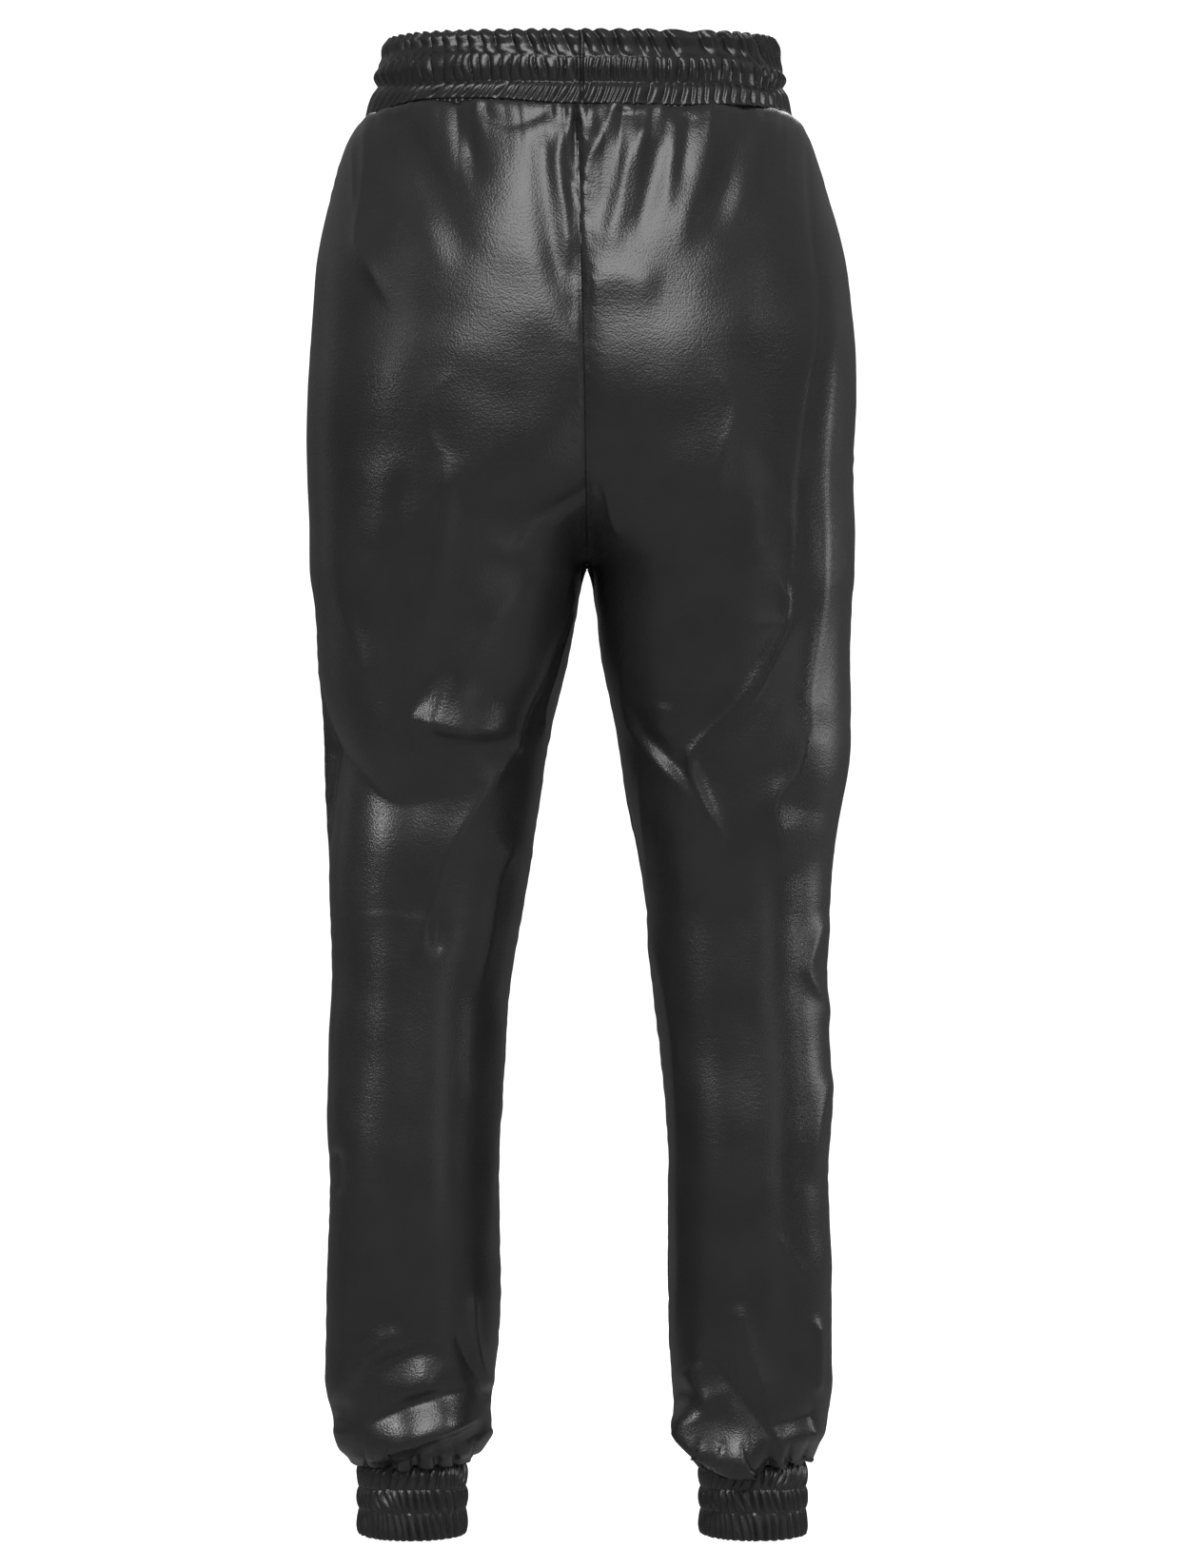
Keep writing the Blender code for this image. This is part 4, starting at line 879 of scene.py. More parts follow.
def add_piece(name, vertices, faces, materials, face_materials, slot, node):
    """A mesh object that rides with the garment, in place of a solid."""
    mesh = bpy.data.meshes.new(name)
    mesh.from_pydata(vertices.tolist(), [], faces)
    mesh.shade_smooth()
    for material in materials:
        mesh.materials.append(material)
    if face_materials is not None:
        mesh.polygons.foreach_set("material_index", face_materials)
    piece = bpy.data.objects.new(name, mesh)
    bpy.context.scene.collection.objects.link(piece)
    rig.ride(piece, "root")
    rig.slot(piece, slot)
    if node:
        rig.replaces(piece, node)
    return piece


def grid_quads(rows, columns, start, outward):
    """The faces of a grid of points, numbered from start."""
    faces = []
    for r in range(rows - 1):
        for c in range(columns - 1):
            a = start + r * columns + c
            quad = (a, a + columns, a + columns + 1, a + 1)
            faces.append(quad if outward else quad[::-1])
    return faces


def edge_loop(rows, columns, start, step):
    """Point numbers round the edge of a grid, every so many points."""
    top = [start + c for c in range(0, columns - 1, step)]
    right = [start + r * columns + columns - 1 for r in range(0, rows - 1, step)]
    bottom = [start + (rows - 1) * columns + c for c in range(columns - 1, 0, -step)]
    left = [start + r * columns for r in range(rows - 1, 0, -step)]
    return top + right + bottom + left


def shell(name, outer, inner, outward, materials, slot, node):
    """A thin closed shell between a fine outer grid and an inner grid of half as many points each way."""
    rows, columns = outer.shape[:2]
    inner_rows, inner_columns = inner.shape[:2]
    count = rows * columns
    outer_faces = grid_quads(rows, columns, 0, outward)
    inner_faces = grid_quads(inner_rows, inner_columns, count, not outward)
    fine = edge_loop(rows, columns, 0, 1)
    coarse = edge_loop(inner_rows, inner_columns, count, 1)
    rim = []
    for k, low in enumerate(coarse):
        next_low = coarse[(k + 1) % len(coarse)]
        a, b, c = fine[2 * k], fine[2 * k + 1], fine[(2 * k + 2) % len(fine)]
        for triangle in ((a, b, low), (b, next_low, low), (b, c, next_low)):
            rim.append(triangle if outward else triangle[::-1])
    vertices = np.concatenate([outer.reshape(-1, 3), inner.reshape(-1, 3)])
    kinds = [0] * len(outer_faces) + [1] * len(inner_faces) + [0] * len(rim)
    return add_piece(name, vertices, outer_faces + inner_faces + rim, materials, kinds, slot, node)


def make_panel(side, face, materials):
    """One leg panel: a thin shell with its creases."""
    form = LegForm(side, face)
    down = row_stations(face)
    share = column_shares(face)
    inner_place, inner_distance, on_rise = form.inner_edge(down)
    bend = smoothstep(0.0, 1.0, share)[None, :]
    place = down[:, None] * (1.0 - bend) + inner_place[:, None] * bend
    mouth = mouth_distance(down)[:, None] if face == "front" else np.zeros((len(down), 1))
    distance = mouth + (inner_distance[:, None] - mouth) * share[None, :]
    grid = meet_waistband(hem_lobes(form.at(distance, place), side, face, place), place)
    normal = flatten_edge_normals(normals_of(grid, side, face), on_rise)
    from_inner = inner_distance[:, None] - distance
    height = cloth_height(grid, face, place, distance - mouth, from_inner, mouth > 0.0)
    outer = grid + normal * height[..., None]
    normal = normals_of(outer, side, face)
    flat = flatten_edge_normals(normal, on_rise)
    if face == "front":
        flat[mouth[:, 0] > 0.0, 0] = normal[mouth[:, 0] > 0.0, 0]
    inner = outer - WALL * flat
    inner[0, :, 2] = outer[0, :, 2]
    centre = np.where(place < CROTCH_DOWN + NEAR_CROTCH, seam_lean("shift", place), -SIDES[side])
    seam = profile("seam", place)
    outer = keep_seams(outer, side, face, centre, seam)
    inner = keep_seams(inner, side, face, centre, seam)
    outward = SIDES[side] * FACES[face] > 0.0
    piece = shell(f"{face}_{side}_cloth", outer, inner[::2, ::2], outward, materials, "leather", f"{face}_{side}")
    return piece, outer, normal


def make_pocket(side, materials):
    """The back of one pocket, behind the slanted mouth."""
    form = LegForm(side, "front")
    down = np.linspace(0.0, POCKET_DEPTH, POCKET_GRID[0])
    at = np.linspace(0.0, POCKET_REACH, POCKET_GRID[1])
    grid = form.at(np.broadcast_to(at, POCKET_GRID), np.broadcast_to(down[:, None], POCKET_GRID))
    normal = normals_of(grid, side, "front")
    normal[:, 0, 1] = 0.0
    normal /= np.linalg.norm(normal, axis=2, keepdims=True)
    across, up = seen(grid, "front")
    wave = POCKET_WAVE * ripple(across, up, POCKET_WAVE_SIZE, POCKET_SEED)
    outer = grid - (POCKET_INSET + wave)[..., None] * normal
    inner = outer - WALL * normal
    for layer in (outer, inner):
        layer[:, :, 1] = np.maximum(layer[:, :, 1], 0.5 * SEAM_GAP)
    outward = SIDES[side] > 0.0
    name = f"pocket_{side}"
    return shell(name + "_cloth", outer, inner[::2, ::2], outward, materials, "leather", name)


def ring_form(sizes, centre, turn):
    """Points of an egg-shaped ring, and its outward directions."""
    left, right, back, front = sizes
    wide = np.where(np.cos(turn) > 0.0, right, left)
    deep = np.where(np.sin(turn) > 0.0, front, back)
    x = centre[0] + wide * np.cos(turn)
    y = centre[1] + deep * np.sin(turn)
    outward = np.stack([np.cos(turn) / wide, np.sin(turn) / deep], axis=-1)
    return x, y, outward / np.linalg.norm(outward, axis=-1, keepdims=True)


def turns_evenly(sizes, count):
    """Angles that place points evenly round a ring, from its middle at the back, and their distances round it."""
    fine = np.linspace(-0.5 * np.pi, 1.5 * np.pi, FINE_POINTS)
    x, y, _ = ring_form(sizes, (0.0, 0.0), fine)
    length = lengths_along(np.column_stack([x, y]))
    distance = np.linspace(0.0, length[-1], count, endpoint=False)
    return np.interp(distance, length, fine), distance, length[-1]


def swell_of(w, edge):
    """How far a tier puffs out part of the way up it: 0 at a stitch line and 1 at its fullest."""
    if edge == 0:
        return np.sin(np.pi * w) ** SWELL_POWER
    from_line = w if edge > 0 else 1.0 - w
    rolled = max(0.0, (from_line - FULLEST) / (1.0 - FULLEST))
    return np.sin(0.5 * np.pi * min(1.0, from_line / FULLEST)) ** FREE_SWELL_POWER * (1.0 - EDGE_ROLL * rolled ** 2)


def shirring(distance, around, level, lines, shown_at, crests, tiers):
    """How far shirred cloth stands from its form at a level: tiers of ridges, pinched at the stitch lines.

    A level is 0 at the bottom edge and 1 more at each line.
    """
    k = min(int(level), len(tiers) - 1)
    w = level - k
    tier = dict(zip(TIER_COLUMNS, tiers[k]))
    high = lines[k + 1] - lines[k]
    sway = SWAY * ripple(*shown_at, SWAY_SIZE, SWAY_SEED + k)
    at = (distance + tier["lean"] * (w - 0.5) * high + sway) % around
    places = crests[k]
    gap = np.clip(np.searchsorted(places, at, side="right") - 1, 0, len(places) - 2)
    t = np.clip((at - places[gap]) / (places[gap + 1] - places[gap]), 0.0, 1.0)
    ridge = np.where(t < VALLEY, np.cos(0.5 * np.pi * t / VALLEY), np.sin(0.5 * np.pi * (t - VALLEY) / (1.0 - VALLEY)))
    ridge = np.clip(ridge, 0.0, 1.0) ** (tier["narrow_low"] + (tier["narrow_high"] - tier["narrow_low"]) * w)
    depth = np.random.default_rng(VALLEY_SEED + k).uniform(*VALLEY_DEPTHS, len(places) - 1)
    depth *= tier["height"] * np.clip(np.diff(places) / tier["step"], *RIDGE_WIDTHS) ** RIDGE_POWER
    depth[-1] = depth[0]
    turned = 2.0 * np.pi * at / around
    crest = CREST_RISE * (1.0 + sum(CREST_WAVE_HEIGHT * np.sin(count * turned + start) for count, start in CREST_WAVES))
    swell = swell_of(w, tier["edge"])
    return crest - STITCH_PINCH * (1.0 - swell) - depth[gap] * (1.0 - ridge) * swell


def cuff_lines(turn):
    """Heights of a cuff's hem, its two stitch lines and its top."""
    sideways = np.cos(turn) ** 2
    between = [a + (b - a) * sideways for a, b in zip(CUFF_LINES_CENTRE, CUFF_LINES_SIDE)]
    shares = [0.0 * turn, *between, 1.0 + 0.0 * turn]
    return [HEM + (CUFF_TOP - HEM) * share for share in shares]


def height_at(level, lines):
    """The height of a level between the lines."""
    k = min(int(level), len(lines) - 2)
    return lines[k] + (lines[k + 1] - lines[k]) * (level - k)


def closed_ring(name, rows, material, slot, node):
    """A closed ring of cloth from loops of points that run up its outside, over its edge and down its inside."""
    rows = np.array(rows)
    count, around = rows.shape[:2]
    faces = []
    for r in range(count):
        s = (r + 1) % count
        for c in range(around):
            d = (c + 1) % around
            faces.append((r * around + c, r * around + d, s * around + d, s * around + c))
    return add_piece(name, rows.reshape(-1, 3), faces, [material], None, slot, node)


def band_crest_distances(name, step, sizes, around, seed):
    """Distances round the band to the crests of one tier: those that the photograph shows, and others like them."""
    fine = np.linspace(-np.pi, 0.0, FINE_HALF_POINTS)
    x, y, _ = ring_form(sizes, (0.0, 0.0), fine)
    nearness = -CAMERA_PLACE[1] / (y - CAMERA_PLACE[1])
    shown = CAMERA_PLACE[0] + (x - CAMERA_PLACE[0]) * nearness
    length = lengths_along(np.column_stack([x, y]))
    middle = np.interp(-0.5 * np.pi, fine, length)
    pixels = (np.array(BAND_CRESTS[name], dtype=float) - ORIGIN_PIXEL[0]) * PIXEL
    distance = np.interp(pixels, shown, length) - middle
    rest = uneven(distance[-1], around + distance[0], step, seed)
    crests = np.sort(np.concatenate([distance, rest[1:-1]]) % around)
    return np.concatenate([[crests[-1] - around], crests, [crests[0] + around]])


def ring_points(form, z, height, move, share):
    """Points of one loop of a ring, moved out. Inside it only a share of the ridges shows."""
    x, y, outward = form
    reach = move + (height if share is None else share * (height - CREST_RISE))
    return np.column_stack([x + outward[:, 0] * reach, y + outward[:, 1] * reach, z])


def shirred_ring(node, kind, loop, seam_level, edge_level, material):
    """A ring of shirred cloth, up its outside, over its free edge and back inside, and where its stitches lie."""
    ring = RINGS[kind]
    rows = [loop(level, 0.0, None) for level in np.linspace(seam_level, edge_level, OUTER_ROWS)]
    inside = loop(edge_level, -ring["wall"], INSIDE_SHARES[0])
    for k in range(1, EDGE_ROWS):
        t = 0.5 * (1.0 - np.cos(np.pi * k / EDGE_ROWS))
        points = (1.0 - t) * rows[OUTER_ROWS - 1] + t * inside
        points[:, 2] += ring["roll"] * np.sin(np.pi * k / EDGE_ROWS)
        rows.append(points)
    for k, level in enumerate(np.linspace(edge_level, seam_level, INNER_ROWS)):
        wall = ring["wall"] + ring["thicker"] * min(1.0, k / THICKER_ROWS)
        rows.append(loop(level, -wall, INSIDE_SHARES[1]))
    if edge_level < seam_level:
        rows.reverse()
    piece = closed_ring(node + "_cloth", rows, material, "shirring", node)
    return piece, [stitch_places(loop(line, 0.0, None), STITCH_PITCH) for line in STITCH_LINES]


def make_waistband(material):
    """The shirred waistband, and where its stitches lie."""
    ring = RINGS["waistband"]
    tiers = rows_of(BAND_TIERS, TIER_COLUMNS)
    full = len(tiers)
    middle_sizes = [float(band(name, 0.0)) for name in BAND_COLUMNS[1:]]
    turn, distance, around = turns_evenly(middle_sizes, BAND_AROUND)
    crests = [band_crest_distances(tier["name"], tier["step"], middle_sizes, around, BAND_SEED + k)
              for k, tier in enumerate(tiers)]
    angle = (np.degrees(turn) + 270.0) % 360.0 - 180.0
    lines = [MM * band_lines(name, angle) for name in BAND_LINES_COLUMNS[1:]]
    ridge, _ = gathered((distance + 0.5 * tiers[-1]["lean"] * (lines[-1] - lines[-2])) % around, crests[-1])
    scallop = ring["scallop"] * (ridge - ring["middle"])

    def loop(level, move, share):
        """One loop at a level, moved out, with a share of the ridges."""
        z = height_at(level, lines)
        sizes = [band(name, height_at(level, BAND_LEVELS)) for name in BAND_COLUMNS[1:]]
        x, y, outward = ring_form(sizes, (0.0, 0.0), turn)
        height = shirring(distance, around, level, lines, (x, z + SWAY_SLANT * y), crests, BAND_TIERS)
        height -= JOIN_DEPTH * np.exp(-(x / JOIN_WIDTH) ** 2) * (y < 0.0)
        z = z + scallop * smoothstep(full - SCALLOP_REACH["waistband"], full, level)
        return ring_points((x, y, outward), z, height, move, share)

    return shirred_ring("waistband", "waistband", loop, 0.0, full, material)


def places_along(line, at, ahead):
    """Points at some distances along a polyline, and its direction a little ahead of each."""
    length = lengths_along(line)
    place, beyond = (np.column_stack([np.interp(where, length, line[:, k]) for k in range(3)])
                     for where in (at, at + ahead))
    direction = beyond - place
    return place, direction / np.linalg.norm(direction, axis=1, keepdims=True)


def stitch_places(points, pitch):
    """Places and directions of the stitches along a closed loop of points."""
    closed = np.vstack([points, points[:1]])
    at = np.arange(0.5 * pitch, lengths_along(closed)[-1] - 0.5 * pitch, pitch)
    return places_along(closed, at, STITCH_AHEAD * pitch)


def make_stitches(name, places, material, slot, length=STITCH_LENGTH):
    """Many small stitches as one mesh: each is a short thread with tapered ends."""
    sides = STITCH_SIDES
    rings = STITCH_RINGS
    vertices = []
    faces = []
    for place, direction in places:
        for point, along in zip(place, direction):
            along = Vector(along)
            first = along.cross(Vector((0.0, 0.0, 1.0))).normalized()
            second = along.cross(first)
            start = len(vertices)
            for offset, fat in rings:
                for k in range(sides):
                    angle = 2.0 * np.pi * k / sides
                    spread = first * np.cos(angle) + second * np.sin(angle)
                    vertices.append(Vector(point) + along * (offset * length) + spread * (fat * STITCH_RADIUS))
            for ring in range(len(rings) - 1):
                for k in range(sides):
                    a = start + ring * sides + k
                    b = start + ring * sides + (k + 1) % sides
                    faces.append((a, b, b + sides, a + sides))
            faces.append(tuple(start + k for k in reversed(range(sides))))
            faces.append(tuple(start + (len(rings) - 1) * sides + k for k in range(sides)))
    return add_piece(name, np.array(vertices), faces, [material], None, slot, None)


def make_cuff(side, material):
    """One shirred ankle cuff, and where its stitches lie."""
    half_x, half_y = CUFF_HALF[side]
    sizes = (half_x, half_x, half_y, half_y)
    ring = RINGS["cuff"]
    tiers = rows_of(CUFF_TIERS, TIER_COLUMNS)
    full = len(tiers)
    turn, distance, around = turns_evenly(sizes, CUFF_AROUND)
    crests = [uneven(0.0, around, tier["step"], CUFF_SEED[side] + k) for k, tier in enumerate(tiers)]
    lines = cuff_lines(turn)
    ridge, _ = gathered(distance % around, crests[0])
    scallop = ring["scallop"] * (ridge - ring["middle"])

    def loop(level, move, share):
        """One loop at a level, moved out, with a share of the ridges."""
        z = height_at(level, lines)
        x, y, outward = ring_form(sizes, CUFF_CENTRE[side], turn)
        height = shirring(distance, around, level, lines, (x, z + SWAY_SLANT * y), crests, CUFF_TIERS)
        draw = -CUFF_DRAW * smoothstep(full - CUFF_DRAW_REACH, full, level)
        draw -= HEM_DRAW * (1.0 - smoothstep(0.0, HEM_DRAW_REACH, level))
        z = z + scallop * (1.0 - smoothstep(0.0, SCALLOP_REACH["cuff"], level))
        return ring_points((x, y, outward), z, height, draw + move, share)

    return shirred_ring(f"cuff_{side}", "cuff", loop, full, 0.0, material)


# The finish of each kind of cloth
FINISHES = {
    "leather": dict(colour=0.0082, roughness=0.30, unevenness=0.05, grain=0.42, crinkle=0.10),
    "shirring": dict(colour=0.0076, roughness=0.29, unevenness=0.04, grain=0.26, crinkle=0.04),
}
TINTS = ((0.8, 0.8, 0.84), (1.2, 1.2, 1.22))     # its darkest and lightest, as shares of its colour
GRAIN_SIZE = 0.0013
GRAIN_HEIGHT = 0.0003
GRAIN_WARP = 0.0006          # how far the grain is pulled about, and over what size
GRAIN_WARP_SIZE = 0.004
CRINKLE_SIZE = 0.0045
CRINKLE_HEIGHT = 0.0010
CRINKLE_STRETCH = (0.35, 0.35, 1.6)      # how much finer the crinkles are each way
CLOUD_SIZE = 0.035           # patches of slightly other gloss and colour, and the part of the noise that shows
CLOUD_RANGE = (0.3, 0.7)
KNIT = dict(colour=(0.014, 0.014, 0.015, 1.0), roughness=0.9, size=0.0012, strength=0.5, height=0.0004)
THREAD = dict(dark=(0.004, 0.004, 0.004, 1.0), light=(0.012, 0.012, 0.012, 1.0), roughness=0.75, size=0.0006)


def fill(tree, node, *inputs, **named):
    """Give a node its settings, and its inputs in order or by name. An input may be another node's output."""
    settings = node.bl_rna.properties.keys()
    for name in [name for name in named if name in settings]:
        setattr(node, name, named.pop(name))
    for key, value in [*enumerate(inputs), *named.items()]:
        socket = node.inputs[key if isinstance(key, int) else key.replace("_", " ")]
        if isinstance(value, bpy.types.NodeSocket):
            tree.links.new(value, socket)
        else:
            socket.default_value = value
    return node


def node_of(tree, kind, *inputs, **named):
    """A new shader node with its settings and inputs."""
    return fill(tree, tree.nodes.new("ShaderNode" + kind), *inputs, **named)


def material_of(name, **values):
    """A new material, its node tree, and its shader with some of its inputs set."""
    material = bpy.data.materials.new(name)
    material.use_nodes = True
    tree = material.node_tree
    return material, tree, fill(tree, tree.nodes["Principled BSDF"], **values)


def leather_material(name):
    """Black imitation leather: a fine pebbled grain, faint level crinkles and a soft gloss."""
    finish = FINISHES[name]
    material, tree, shader = material_of(name + "_black", Specular_IOR_Level=0.5, IOR=1.5)
    place = node_of(tree, "TexCoord").outputs["Object"]
    warp = node_of(tree, "TexNoise", Vector=place, Scale=1.0 / GRAIN_WARP_SIZE, Detail=2.0).outputs["Color"]
    pulled = node_of(tree, "VectorMath", warp, 3 * (GRAIN_WARP,), place, operation="MULTIPLY_ADD").outputs["Vector"]
    grain = node_of(tree, "TexVoronoi", feature="SMOOTH_F1", Vector=pulled, Scale=1.0 / GRAIN_SIZE, Smoothness=0.5)
    stretch = node_of(tree, "Mapping", Vector=place, Scale=CRINKLE_STRETCH).outputs["Vector"]
    crinkle = node_of(tree, "TexNoise", Vector=stretch, Scale=1.0 / CRINKLE_SIZE, Detail=4.0).outputs["Fac"]
    lower = node_of(tree, "Bump", Strength=finish["crinkle"], Distance=CRINKLE_HEIGHT, Height=crinkle)
    upper = node_of(tree, "Bump", invert=True, Strength=finish["grain"], Distance=GRAIN_HEIGHT,
                    Height=grain.outputs["Distance"], Normal=lower.outputs["Normal"])
    cloud = node_of(tree, "TexNoise", Vector=place, Scale=1.0 / CLOUD_SIZE, Detail=3.0).outputs["Fac"]
    gloss = node_of(tree, "MapRange", Value=cloud, From_Min=CLOUD_RANGE[0], From_Max=CLOUD_RANGE[1],
                    To_Min=finish["roughness"] - 0.5 * finish["unevenness"],
                    To_Max=finish["roughness"] + 0.5 * finish["unevenness"])
    dark, light = ([finish["colour"] * share for share in shares] + [1.0] for shares in TINTS)
    tint = node_of(tree, "Mix", data_type="RGBA", Factor=cloud, A=dark, B=light)
    fill(tree, shader, Normal=upper.outputs["Normal"], Roughness=gloss.outputs["Result"],
         Base_Color=tint.outputs["Result"])
    return material


def backing_material():
    """The knitted reverse of the imitation leather."""
    material, tree, shader = material_of("knit_backing", Base_Color=KNIT["colour"], Roughness=KNIT["roughness"])
    place = node_of(tree, "TexCoord").outputs["Object"]
    knit = node_of(tree, "TexVoronoi", Vector=place, Scale=1.0 / KNIT["size"]).outputs["Distance"]
    bump = node_of(tree, "Bump", Strength=KNIT["strength"], Distance=KNIT["height"], Height=knit)
    fill(tree, shader, Normal=bump.outputs["Normal"])
    return material


def thread_material():
    """Black sewing thread."""
    material, tree, shader = material_of("black_thread", Roughness=THREAD["roughness"])
    place = node_of(tree, "TexCoord").outputs["Object"]
    twist = node_of(tree, "TexNoise", Vector=place, Scale=1.0 / THREAD["size"]).outputs["Fac"]
    tint = node_of(tree, "Mix", data_type="RGBA", Factor=twist, A=THREAD["dark"], B=THREAD["light"])
    fill(tree, shader, Base_Color=tint.outputs["Result"])
    return material


# The studio. Each softbox: where its middle is, the point that it faces, its width and height, the angle in degrees
# that its grid spreads, its radiance, and the heights at which it is dark and at which it is fully bright
SOFTBOX_COLUMNS = ("name", "place", "aim", "width", "height", "spread", "radiance", "dark_at", "bright_at")
NO_FADE = (-9.0, -8.0)       # far below the floor, so the whole softbox is bright
SOFTBOXES = (
    ("key", (-0.05, -2.6, 1.45), (0.0, 0.0, -0.30), 2.0, 2.3, 180.0, 6.9, 0.60, 1.10),
    ("ankle_key", (0.0, -2.4, 0.62), (0.0, -0.07, -0.88), 2.6, 1.0, 16.0, 13.0, *NO_FADE),
    ("left_ankle", (-1.9, -1.1, 0.50), (0.0, -0.07, -0.88), 1.3, 0.7, 20.0, 28.0, *NO_FADE),
    ("right_ankle", (1.9, -1.1, 0.50), (0.0, -0.07, -0.88), 1.3, 0.7, 20.0, 20.0, *NO_FADE),
    ("left_knee", (-2.0, -1.0, 0.10), (-0.13, -0.06, -0.52), 2.0, 0.40, 15.0, 32.0, *NO_FADE),
    ("right_knee", (2.14, -0.26, -0.483), (0.14, -0.09, -0.475), 0.9, 0.20, 14.0, 16.0, *NO_FADE),
    ("right_strip", (2.15, 0.85, -0.62), (0.1, 0.0, -0.45), 0.60, 1.1, 180.0, 3.6, -0.86, -0.40),
    ("left_strip", (-2.0, 1.35, -0.45), (-0.1, 0.0, -0.45), 0.16, 2.2, 180.0, 0.6, -0.85, -0.35),
    ("right_card", (1.55, -2.00, -0.62), (0.0, 0.0, -0.45), 0.80, 0.90, 180.0, 0.7, *NO_FADE),
    ("front_key", (0.2, 2.6, 1.45), (0.0, 0.0, -0.30), 1.8, 2.3, 180.0, 6.0, 0.80, 1.40),
)
FLOOR_Z = -1.03
FLOOR_RADIUS = 14.0
FLOOR_POINTS = 96
FLOOR_COLOUR = (0.9, 0.9, 0.9, 1.0)
BACKDROP_WHITE = 1.25
STUDIO_COLUMNS = ("rise", "radiance")    # the studio's own dim light, by how steeply a direction rises
STUDIO = ((-0.90, 0.24), (-0.60, 0.26), (-0.42, 0.24), (-0.26, 0.15), (-0.05, 0.06), (0.08, 0.08), (0.25, 0.20),
          (0.50, 0.28))
# What else shines from one way: along which axis, between which shares of it, and how much
GLOW_COLUMNS = ("axis", "begins", "full", "radiance")
GLOWS = (("X", 0.20, 0.80, 0.05), ("Y", 0.55, 0.95, 0.03))


def make_softboxes():
    """The studio's area lights, unseen by the camera."""
    for box in rows_of(SOFTBOXES, SOFTBOX_COLUMNS):
        light = bpy.data.lights.new(box["name"], "AREA")
        light.shape = "RECTANGLE"
        light.size = box["width"]
        light.size_y = box["height"]
        light.spread = np.radians(box["spread"])
        kept = 1.0 - 0.5 * light.spread / np.tan(0.5 * light.spread)     # a grid keeps back the rest of the light
        light.energy = box["radiance"] * np.pi * box["width"] * box["height"] * kept
        light.use_nodes = True
        tree = light.node_tree
        place = node_of(tree, "NewGeometry").outputs["Position"]
        height = node_of(tree, "SeparateXYZ", place).outputs["Z"]
        fade = node_of(tree, "MapRange", interpolation_type="SMOOTHSTEP", Value=height, From_Min=box["dark_at"],
                       From_Max=box["bright_at"])
        fill(tree, tree.nodes["Emission"], Strength=fade.outputs["Result"])
        lamp = bpy.data.objects.new(box["name"], light)
        lamp.location = box["place"]
        toward = Vector(box["aim"]) - Vector(box["place"])
        lamp.rotation_euler = toward.to_track_quat("-Z", "Y").to_euler()
        lamp.visible_camera = False
        bpy.context.scene.collection.objects.link(lamp)


def make_floor():
    """A plain pale floor below the hanging garment."""
    turn = np.linspace(0.0, 2.0 * np.pi, FLOOR_POINTS, endpoint=False)
    level = np.full(FLOOR_POINTS, FLOOR_Z)
    points = np.column_stack([FLOOR_RADIUS * np.cos(turn), FLOOR_RADIUS * np.sin(turn), level])
    mesh = bpy.data.meshes.new("floor")
    mesh.from_pydata(points.tolist(), [], [tuple(range(FLOOR_POINTS))])
    material, _, _ = material_of("floor_white", Base_Color=FLOOR_COLOUR, Roughness=1.0, Specular_IOR_Level=0.0)
    mesh.materials.append(material)
    floor = bpy.data.objects.new("floor", mesh)
    floor.visible_glossy = False
    bpy.context.scene.collection.objects.link(floor)
    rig.stage(floor)


def make_world():
    """White to the camera and to matt surfaces; a dim studio to glossy ones."""
    world = bpy.data.worlds.new("studio")
    bpy.context.scene.world = world
    world.use_nodes = True
    world.cycles.sampling_method = "NONE"
    tree = world.node_tree
    way = node_of(tree, "SeparateXYZ", node_of(tree, "TexCoord").outputs["Generated"]).outputs
    rows = rows_of(STUDIO, STUDIO_COLUMNS)
    steps = [dict(Value=way["Z"], From_Min=low["rise"], From_Max=high["rise"], To_Min=0.0,
                  To_Max=high["radiance"] - low["radiance"]) for low, high in zip(rows[:-1], rows[1:])]
    steps += [dict(interpolation_type="SMOOTHSTEP", Value=way[glow["axis"]], From_Min=glow["begins"],
                   From_Max=glow["full"], To_Max=glow["radiance"]) for glow in rows_of(GLOWS, GLOW_COLUMNS)]
    # The light starts at the table's first radiance, and each step is added to it
    total = rows[0]["radiance"]
    for step in steps:
        total = node_of(tree, "Math", total, node_of(tree, "MapRange", **step).outputs["Result"]).outputs["Value"]
    glossy = node_of(tree, "LightPath").outputs["Is Glossy Ray"]
    pick = node_of(tree, "Mix", data_type="FLOAT", Factor=glossy, A=BACKDROP_WHITE, B=total)
    fill(tree, tree.nodes["Background"], Color=(1.0, 1.0, 1.0, 1.0), Strength=pick.outputs["Result"])


def make_camera():
    """The photograph's camera: level, from behind the wearer."""
    data = bpy.data.cameras.new("camera")
    data.sensor_fit = "VERTICAL"
    data.sensor_height = SENSOR
    data.lens = SENSOR * -CAMERA_PLACE[1] / (PHOTO_HEIGHT * PIXEL)
    camera = bpy.data.objects.new("camera", data)
    camera.location = CAMERA_PLACE
    camera.rotation_euler = (0.5 * np.pi, 0.0, 0.0)
    bpy.context.scene.collection.objects.link(camera)
    bpy.context.scene.camera = camera


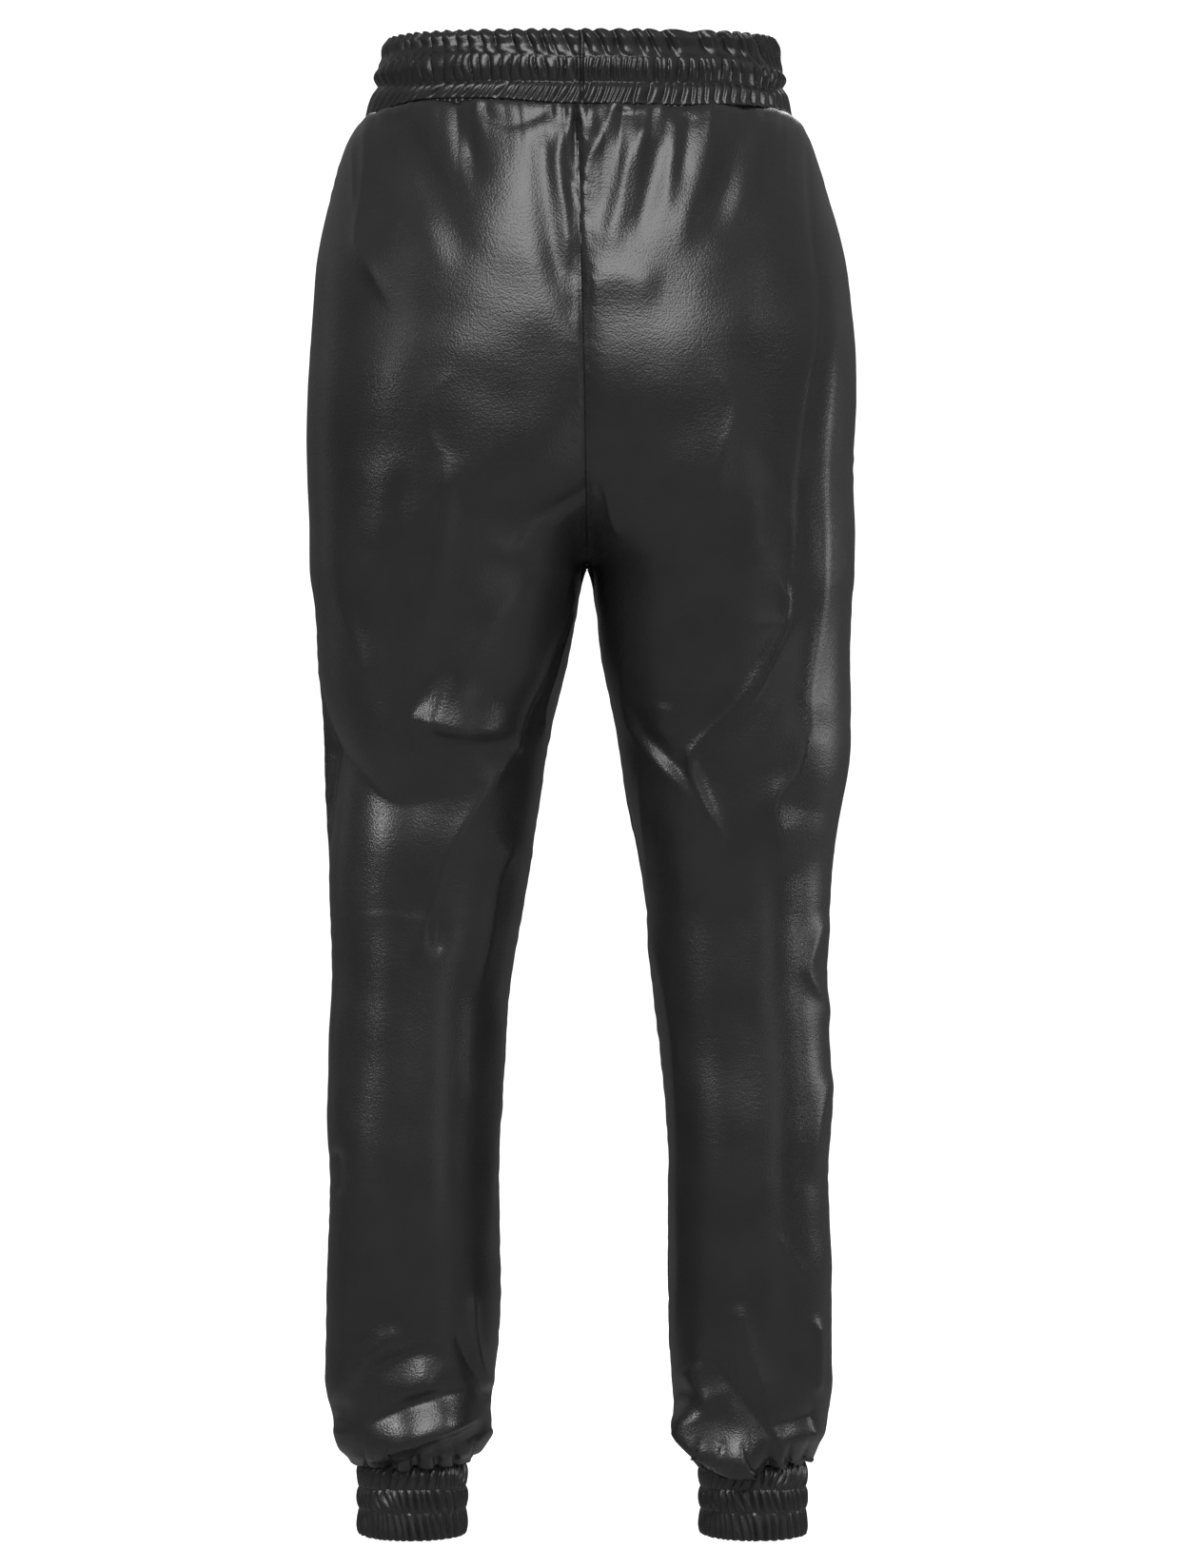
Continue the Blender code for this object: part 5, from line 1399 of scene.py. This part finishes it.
def mouth_stitches(outer, normal, down):
    """Places of the stitches beside one pocket mouth, on its panel."""
    rows = mouth_distance(down) > 0.0
    points = []
    for row, out in zip(outer[rows], normal[rows]):
        length = lengths_along(row)
        lifted = row + MOUTH_STITCH_RISE * out
        points.append([np.interp(MOUTH_STITCH_INSET, length, lifted[:, k]) for k in range(3)])
    line = np.array(points)
    start, end = MOUTH_STITCH_ENDS
    at = np.arange(start, lengths_along(line)[-1] - end, MOUTH_STITCH_PITCH)
    return places_along(line, at, MOUTH_STITCH_AHEAD)


# The cut of each piece: its flat width and length in metres, and its flat area where it isn't a rectangle
CUTS = {
    "back": dict(flat=(0.34, 0.98), area=0.235),
    "front": dict(flat=(0.30, 0.94), area=0.195),
    "pocket": dict(flat=(0.10, 0.21), area=0.0205),
    "waistband": dict(flat=(1.05, 0.053)),
    "cuff": dict(flat=(0.34, 0.049)),
}


def main():
    """Make the garment's cloth, then its studio."""
    leather = leather_material("leather")
    shirred = leather_material("shirring")
    backing = backing_material()
    thread = thread_material()
    down = row_stations("front")
    for side in SIDES:
        for face in FACES:
            panel, outer, normal = make_panel(side, face, [leather, backing])
            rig.sheet(panel, held="hung", rests_on=["waistband_cloth"], **CUTS[face])
            if face == "front":
                places = mouth_stitches(outer, normal, down)
                make_stitches(f"pocket_{side}_stitches", [places], thread, "leather", MOUTH_STITCH_LENGTH)
        pocket = make_pocket(side, [leather, backing])
        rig.sheet(pocket, held="hung", rests_on=["waistband_cloth"], **CUTS["pocket"])
        cuff, stitches = make_cuff(side, shirred)
        threads = make_stitches(f"cuff_{side}_stitches", stitches, thread, "shirring")
        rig.sheet(cuff, held="gathered", rests_on=[f"back_{side}_cloth"], with_pieces=[threads], **CUTS["cuff"])
    waistband, stitches = make_waistband(shirred)
    threads = make_stitches("waistband_stitches", stitches, thread, "shirring")
    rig.sheet(waistband, held="gathered", with_pieces=[threads], **CUTS["waistband"])
    make_floor()
    make_softboxes()
    make_world()
    make_camera()
    bpy.context.scene.view_settings.view_transform = "Standard"


main()
boxes = {"cad": cad_box, "visual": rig.bounds()}
with open("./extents.json", "w") as file:
    json.dump({name: [[float(value) for value in corner] for corner in box] for name, box in boxes.items()}, file)
